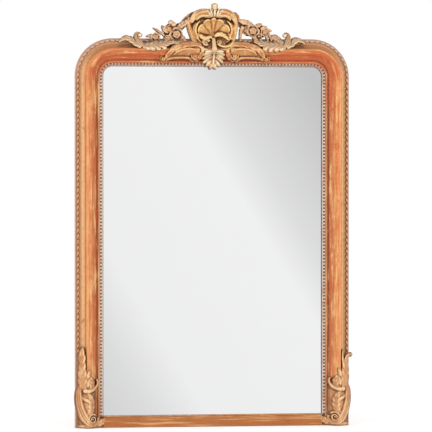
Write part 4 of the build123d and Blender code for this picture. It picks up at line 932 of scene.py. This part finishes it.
# feet: a ribbed C-scroll with a volute, a curl over it, leaves on an ochre ground, a tall leaf, a small one
for side, flip in (("left", 1), ("right", -1)):
    origin = (-4.0 * flip, 0)
    inner = -404 if side == "left" else -394
    foot = Carving(origin, flip)
    foot.field([(-472, 6), (-476, 40), (-478, 80), (-478, 110), (-474, 140), (-468, 160)], [(inner, 6),
        (inner - 6, 40), (inner - 8, 80), (inner - 8, 110), (inner - 8, 134), (inner - 16, 160)], 0, 3)
    foot.band([(-464, 150, 6, 7), (-471, 132, 10, 9), (-472, 110, 12.5, 11), (-470, 86, 13.5, 12),
        (-464, 62, 14.5, 12), (-454, 40, 15, 12), (-441, 23, 14, 12), (-426, 14, 11, 11), (-411, 15, 8.5, 10),
        (-402, 26, 6.5, 9, 0), (-404, 38, 5.5, 9, 0)], reeds(2, 0.3), 1)
    foot.curl(-423, 32, 40, 1.5, 18, 5, 4.2, 11, lift=1)
    foot.band([(-462, 140, 6, 6, 1), (-447, 130, 9, 9), (-431, 131, 7, 10), (-416, 138, 6, 10),
        (-406, 150, 5, 10), (-404, 162, 4.5, 9), (-409, 171, 3.5, 7)], lift=2)
    foot.ball(-449, 131, float(drape(-449, 131)) + 7, 9, 8, 8)
    foot.band([(-430, 134, 9, 7), (-425, 148, 11, 8), (-424, 164, 9, 7), (-430, 180, 3, 5)],
        lobed(14, 0.22, 0.35), 1)
    foot.band([(-462, 108, 5, 6), (-450, 100, 7, 8), (-440, 96, 7, 9), (-432, 88, 6, 8), (-436, 80, 5, 7)],
        lift=1)
    foot.band([(-440, 44, 8, 6), (-430, 60, 13, 9), (-427, 80, 14, 10), (-428, 98, 12, 9), (-434, 114, 8, 8),
        (-442, 124, 4, 6)], lobed(17, 0.25, 0.4))
    foot.band([(-474, 6, 5, 5), (-452, 8, 7, 7), (-428, 5, 6, 6), (-404, 6, 6, 5)])
    foot.make(side + "_corner_scroll", "foot")
    leaf = Carving(origin, flip)
    tip = ([(-461, 244, 13, 10), (-461, 262, 10, 9), (-460, 274, 6, 6),
        (-458, 283, 2, 4)] if side == "left" else [(-466, 238, 9, 11, 1), (-473, 247, 7.5, 11, 2),
        (-482, 250, 5, 9, 2)])
    leaf.band([(-459, 134, 13, 8), (-459, 156, 18, 10), (-460, 178, 18, 11), (-461, 200, 16, 11),
        (-461, 222, 13, 11)] + tip, lobed(26, 0.18, 0.38, 0.9, 0.15), across=28)
    leaf.band([(-450, 172, 7, 7), (-440, 186, 9, 8), (-432, 204, 3, 4)], lobed(14), 1)
    leaf.band([(-446, 146, 8, 7), (-436, 160, 11, 8), (-430, 180, 4, 4)], lobed(14), 1)
    if side == "left":
        leaf.ball(-468, 254, 40, 10, 12, 10)
    else:
        leaf.ball(-482, 249, 41, 7.5, 9, 9)
        leaf.band([(-452, 214, 4, 6), (-450, 236, 4, 7), (-450, 254, 3, 6), (-451, 268, 1, 3)], lift=1)
    leaf.make(side + "_corner_leaf", "foot")
    small = Carving(origin, flip)
    small.band([(-410, 8, 7, 6), (-400, 14, 12, 9), (-388, 21, 13, 10), (-378, 28, 9, 8), (-370, 37, 2, 4)],
        lobed(13, 0.22, 0.35))
    small.make(side + "_foot_leaf", "foot")


# ---- stage, light, camera (m)
scene = bpy.context.scene
scene.view_settings.view_transform = "Standard"
WHITE = (1, 1, 1, 1)


def studio():
    """Soft light all round, and plain white where the camera, the plate or glass looks past the floor."""
    world = bpy.data.worlds.new("studio")
    world.use_nodes = True
    sky = Nodes(world.node_tree)
    sky.tree.nodes.clear()
    soft, plain = (sky.add("Background", {"Color": WHITE, "Strength": strength})[0]
                   for strength in (0.85, 1))
    seen = sky.rays("Is Camera Ray", "Is Glossy Ray", "Is Transmission Ray")
    light = sky.add("MixShader", {0: seen, 1: soft, 2: plain})
    sky.add("OutputWorld", {0: light[0]})
    return world


def stage_mesh(name, corners, material):
    mesh = bpy.data.meshes.new(name)
    mesh.from_pydata(corners, [], [[0, 1, 2, 3]])
    mesh.materials.append(material)
    obj = put(name, mesh)
    return obj


def floor_material():
    paint = Shader("pale_floor", roughness=0.9)
    paint.inputs["Base Color"].default_value = (0.8, 0.8, 0.8, 1)
    paint.inputs["Emission Color"].default_value = WHITE
    glow = paint.times(paint.rays("Is Camera Ray", "Is Glossy Ray"), 0.3)
    paint.feed(paint.inputs["Emission Strength"], glow)
    return paint.material


def card_material():
    """What the plate reflects: pale, dimmer to both sides of a slanting band, and white further out."""
    across, up = 0.853, 0.523  # the way the tones change
    scale, shift = 0.4012, 0.2014
    tones = (0.2, 0.7), (0.32, 0.82), (0.42, 0.98), (0.71, 1), (0.78, 0.84), (0.96, 0.62)
    middle_x, middle_z, inner, outer = 0.88, 0.55, 1.3, 1.9  # the round area that the tones fill
    material = bpy.data.materials.new("reflected_card")
    material.use_nodes = True
    paint = Nodes(material.node_tree)
    paint.tree.nodes.clear()
    x, _, z = paint.axes(paint.add("TexCoord")["Object"])
    slant = paint.math("MULTIPLY_ADD", x, across, paint.times(z, up))
    band = paint.ramp(paint.math("MULTIPLY_ADD", slant, scale, shift), *tones)
    squares = [paint.math("POWER", paint.math("SUBTRACT", place, middle), 2)
               for place, middle in ((x, middle_x), (z, middle_z))]
    away = paint.math("SQRT", paint.math("ADD", *squares))
    fade = paint.add("MapRange", {"Value": away, "From Min": inner, "From Max": outer})[0]
    glow = paint.add("Emission", {0: paint.mix(fade, band, WHITE)})
    paint.add("OutputMaterial", {0: glow[0]})
    return material


def area(name, place, power):
    """A soft lamp that looks at the mirror."""
    data = bpy.data.lights.new(name, "AREA")
    data.shape = "RECTANGLE"
    data.size, data.size_y = 2.2, 2.4
    data.energy = power
    obj = put(name, data)
    obj.location = place
    obj.rotation_euler = (Vector((0, 0, 0.8)) - Vector(place)).to_track_quat("-Z", "Y").to_euler()
    obj.visible_glossy = False


scene.world = studio()
floor = stage_mesh("floor", [(-9, -9, 0), (9, -9, 0), (9, 9, 0), (-9, 9, 0)], floor_material())
floor.visible_glossy = False

# the card stands in front of the mirror, and only glossy rays see it
CARD_PLACE, CARD_HALF, CARD_LOW, CARD_TOP = -5.6, 2.6, -1.4, 3.6
card = stage_mesh("reflected_card", [(-CARD_HALF, CARD_PLACE, CARD_LOW), (CARD_HALF, CARD_PLACE, CARD_LOW),
                                     (CARD_HALF, CARD_PLACE, CARD_TOP), (-CARD_HALF, CARD_PLACE, CARD_TOP)],
                  card_material())
card.visible_camera = card.visible_diffuse = card.visible_shadow = False

area("key", (-3, -2.8, 1.5), 60)
area("fill", (3.2, -2.6, 1.3), 45)

# the camera looks from a little to the left and above
DISTANCE, AIM, VIEW_WIDTH, SENSOR = 12.5, (0.0102, -0.03, 0.7357), 1.5085, 36
TURN_LEFT, CAMERA_HEIGHT = radians(9), 0.9
camera_data = bpy.data.cameras.new("camera")
camera_data.sensor_width = SENSOR
camera_data.lens = SENSOR * DISTANCE / VIEW_WIDTH
camera_data.clip_end = 100
camera = put("camera", camera_data)
camera.location = (AIM[0] - DISTANCE * sin(TURN_LEFT), AIM[1] - DISTANCE * cos(TURN_LEFT), CAMERA_HEIGHT)
camera.rotation_euler = (pi / 2 - atan2(CAMERA_HEIGHT - AIM[2], DISTANCE), 0, -TURN_LEFT)
scene.camera = camera
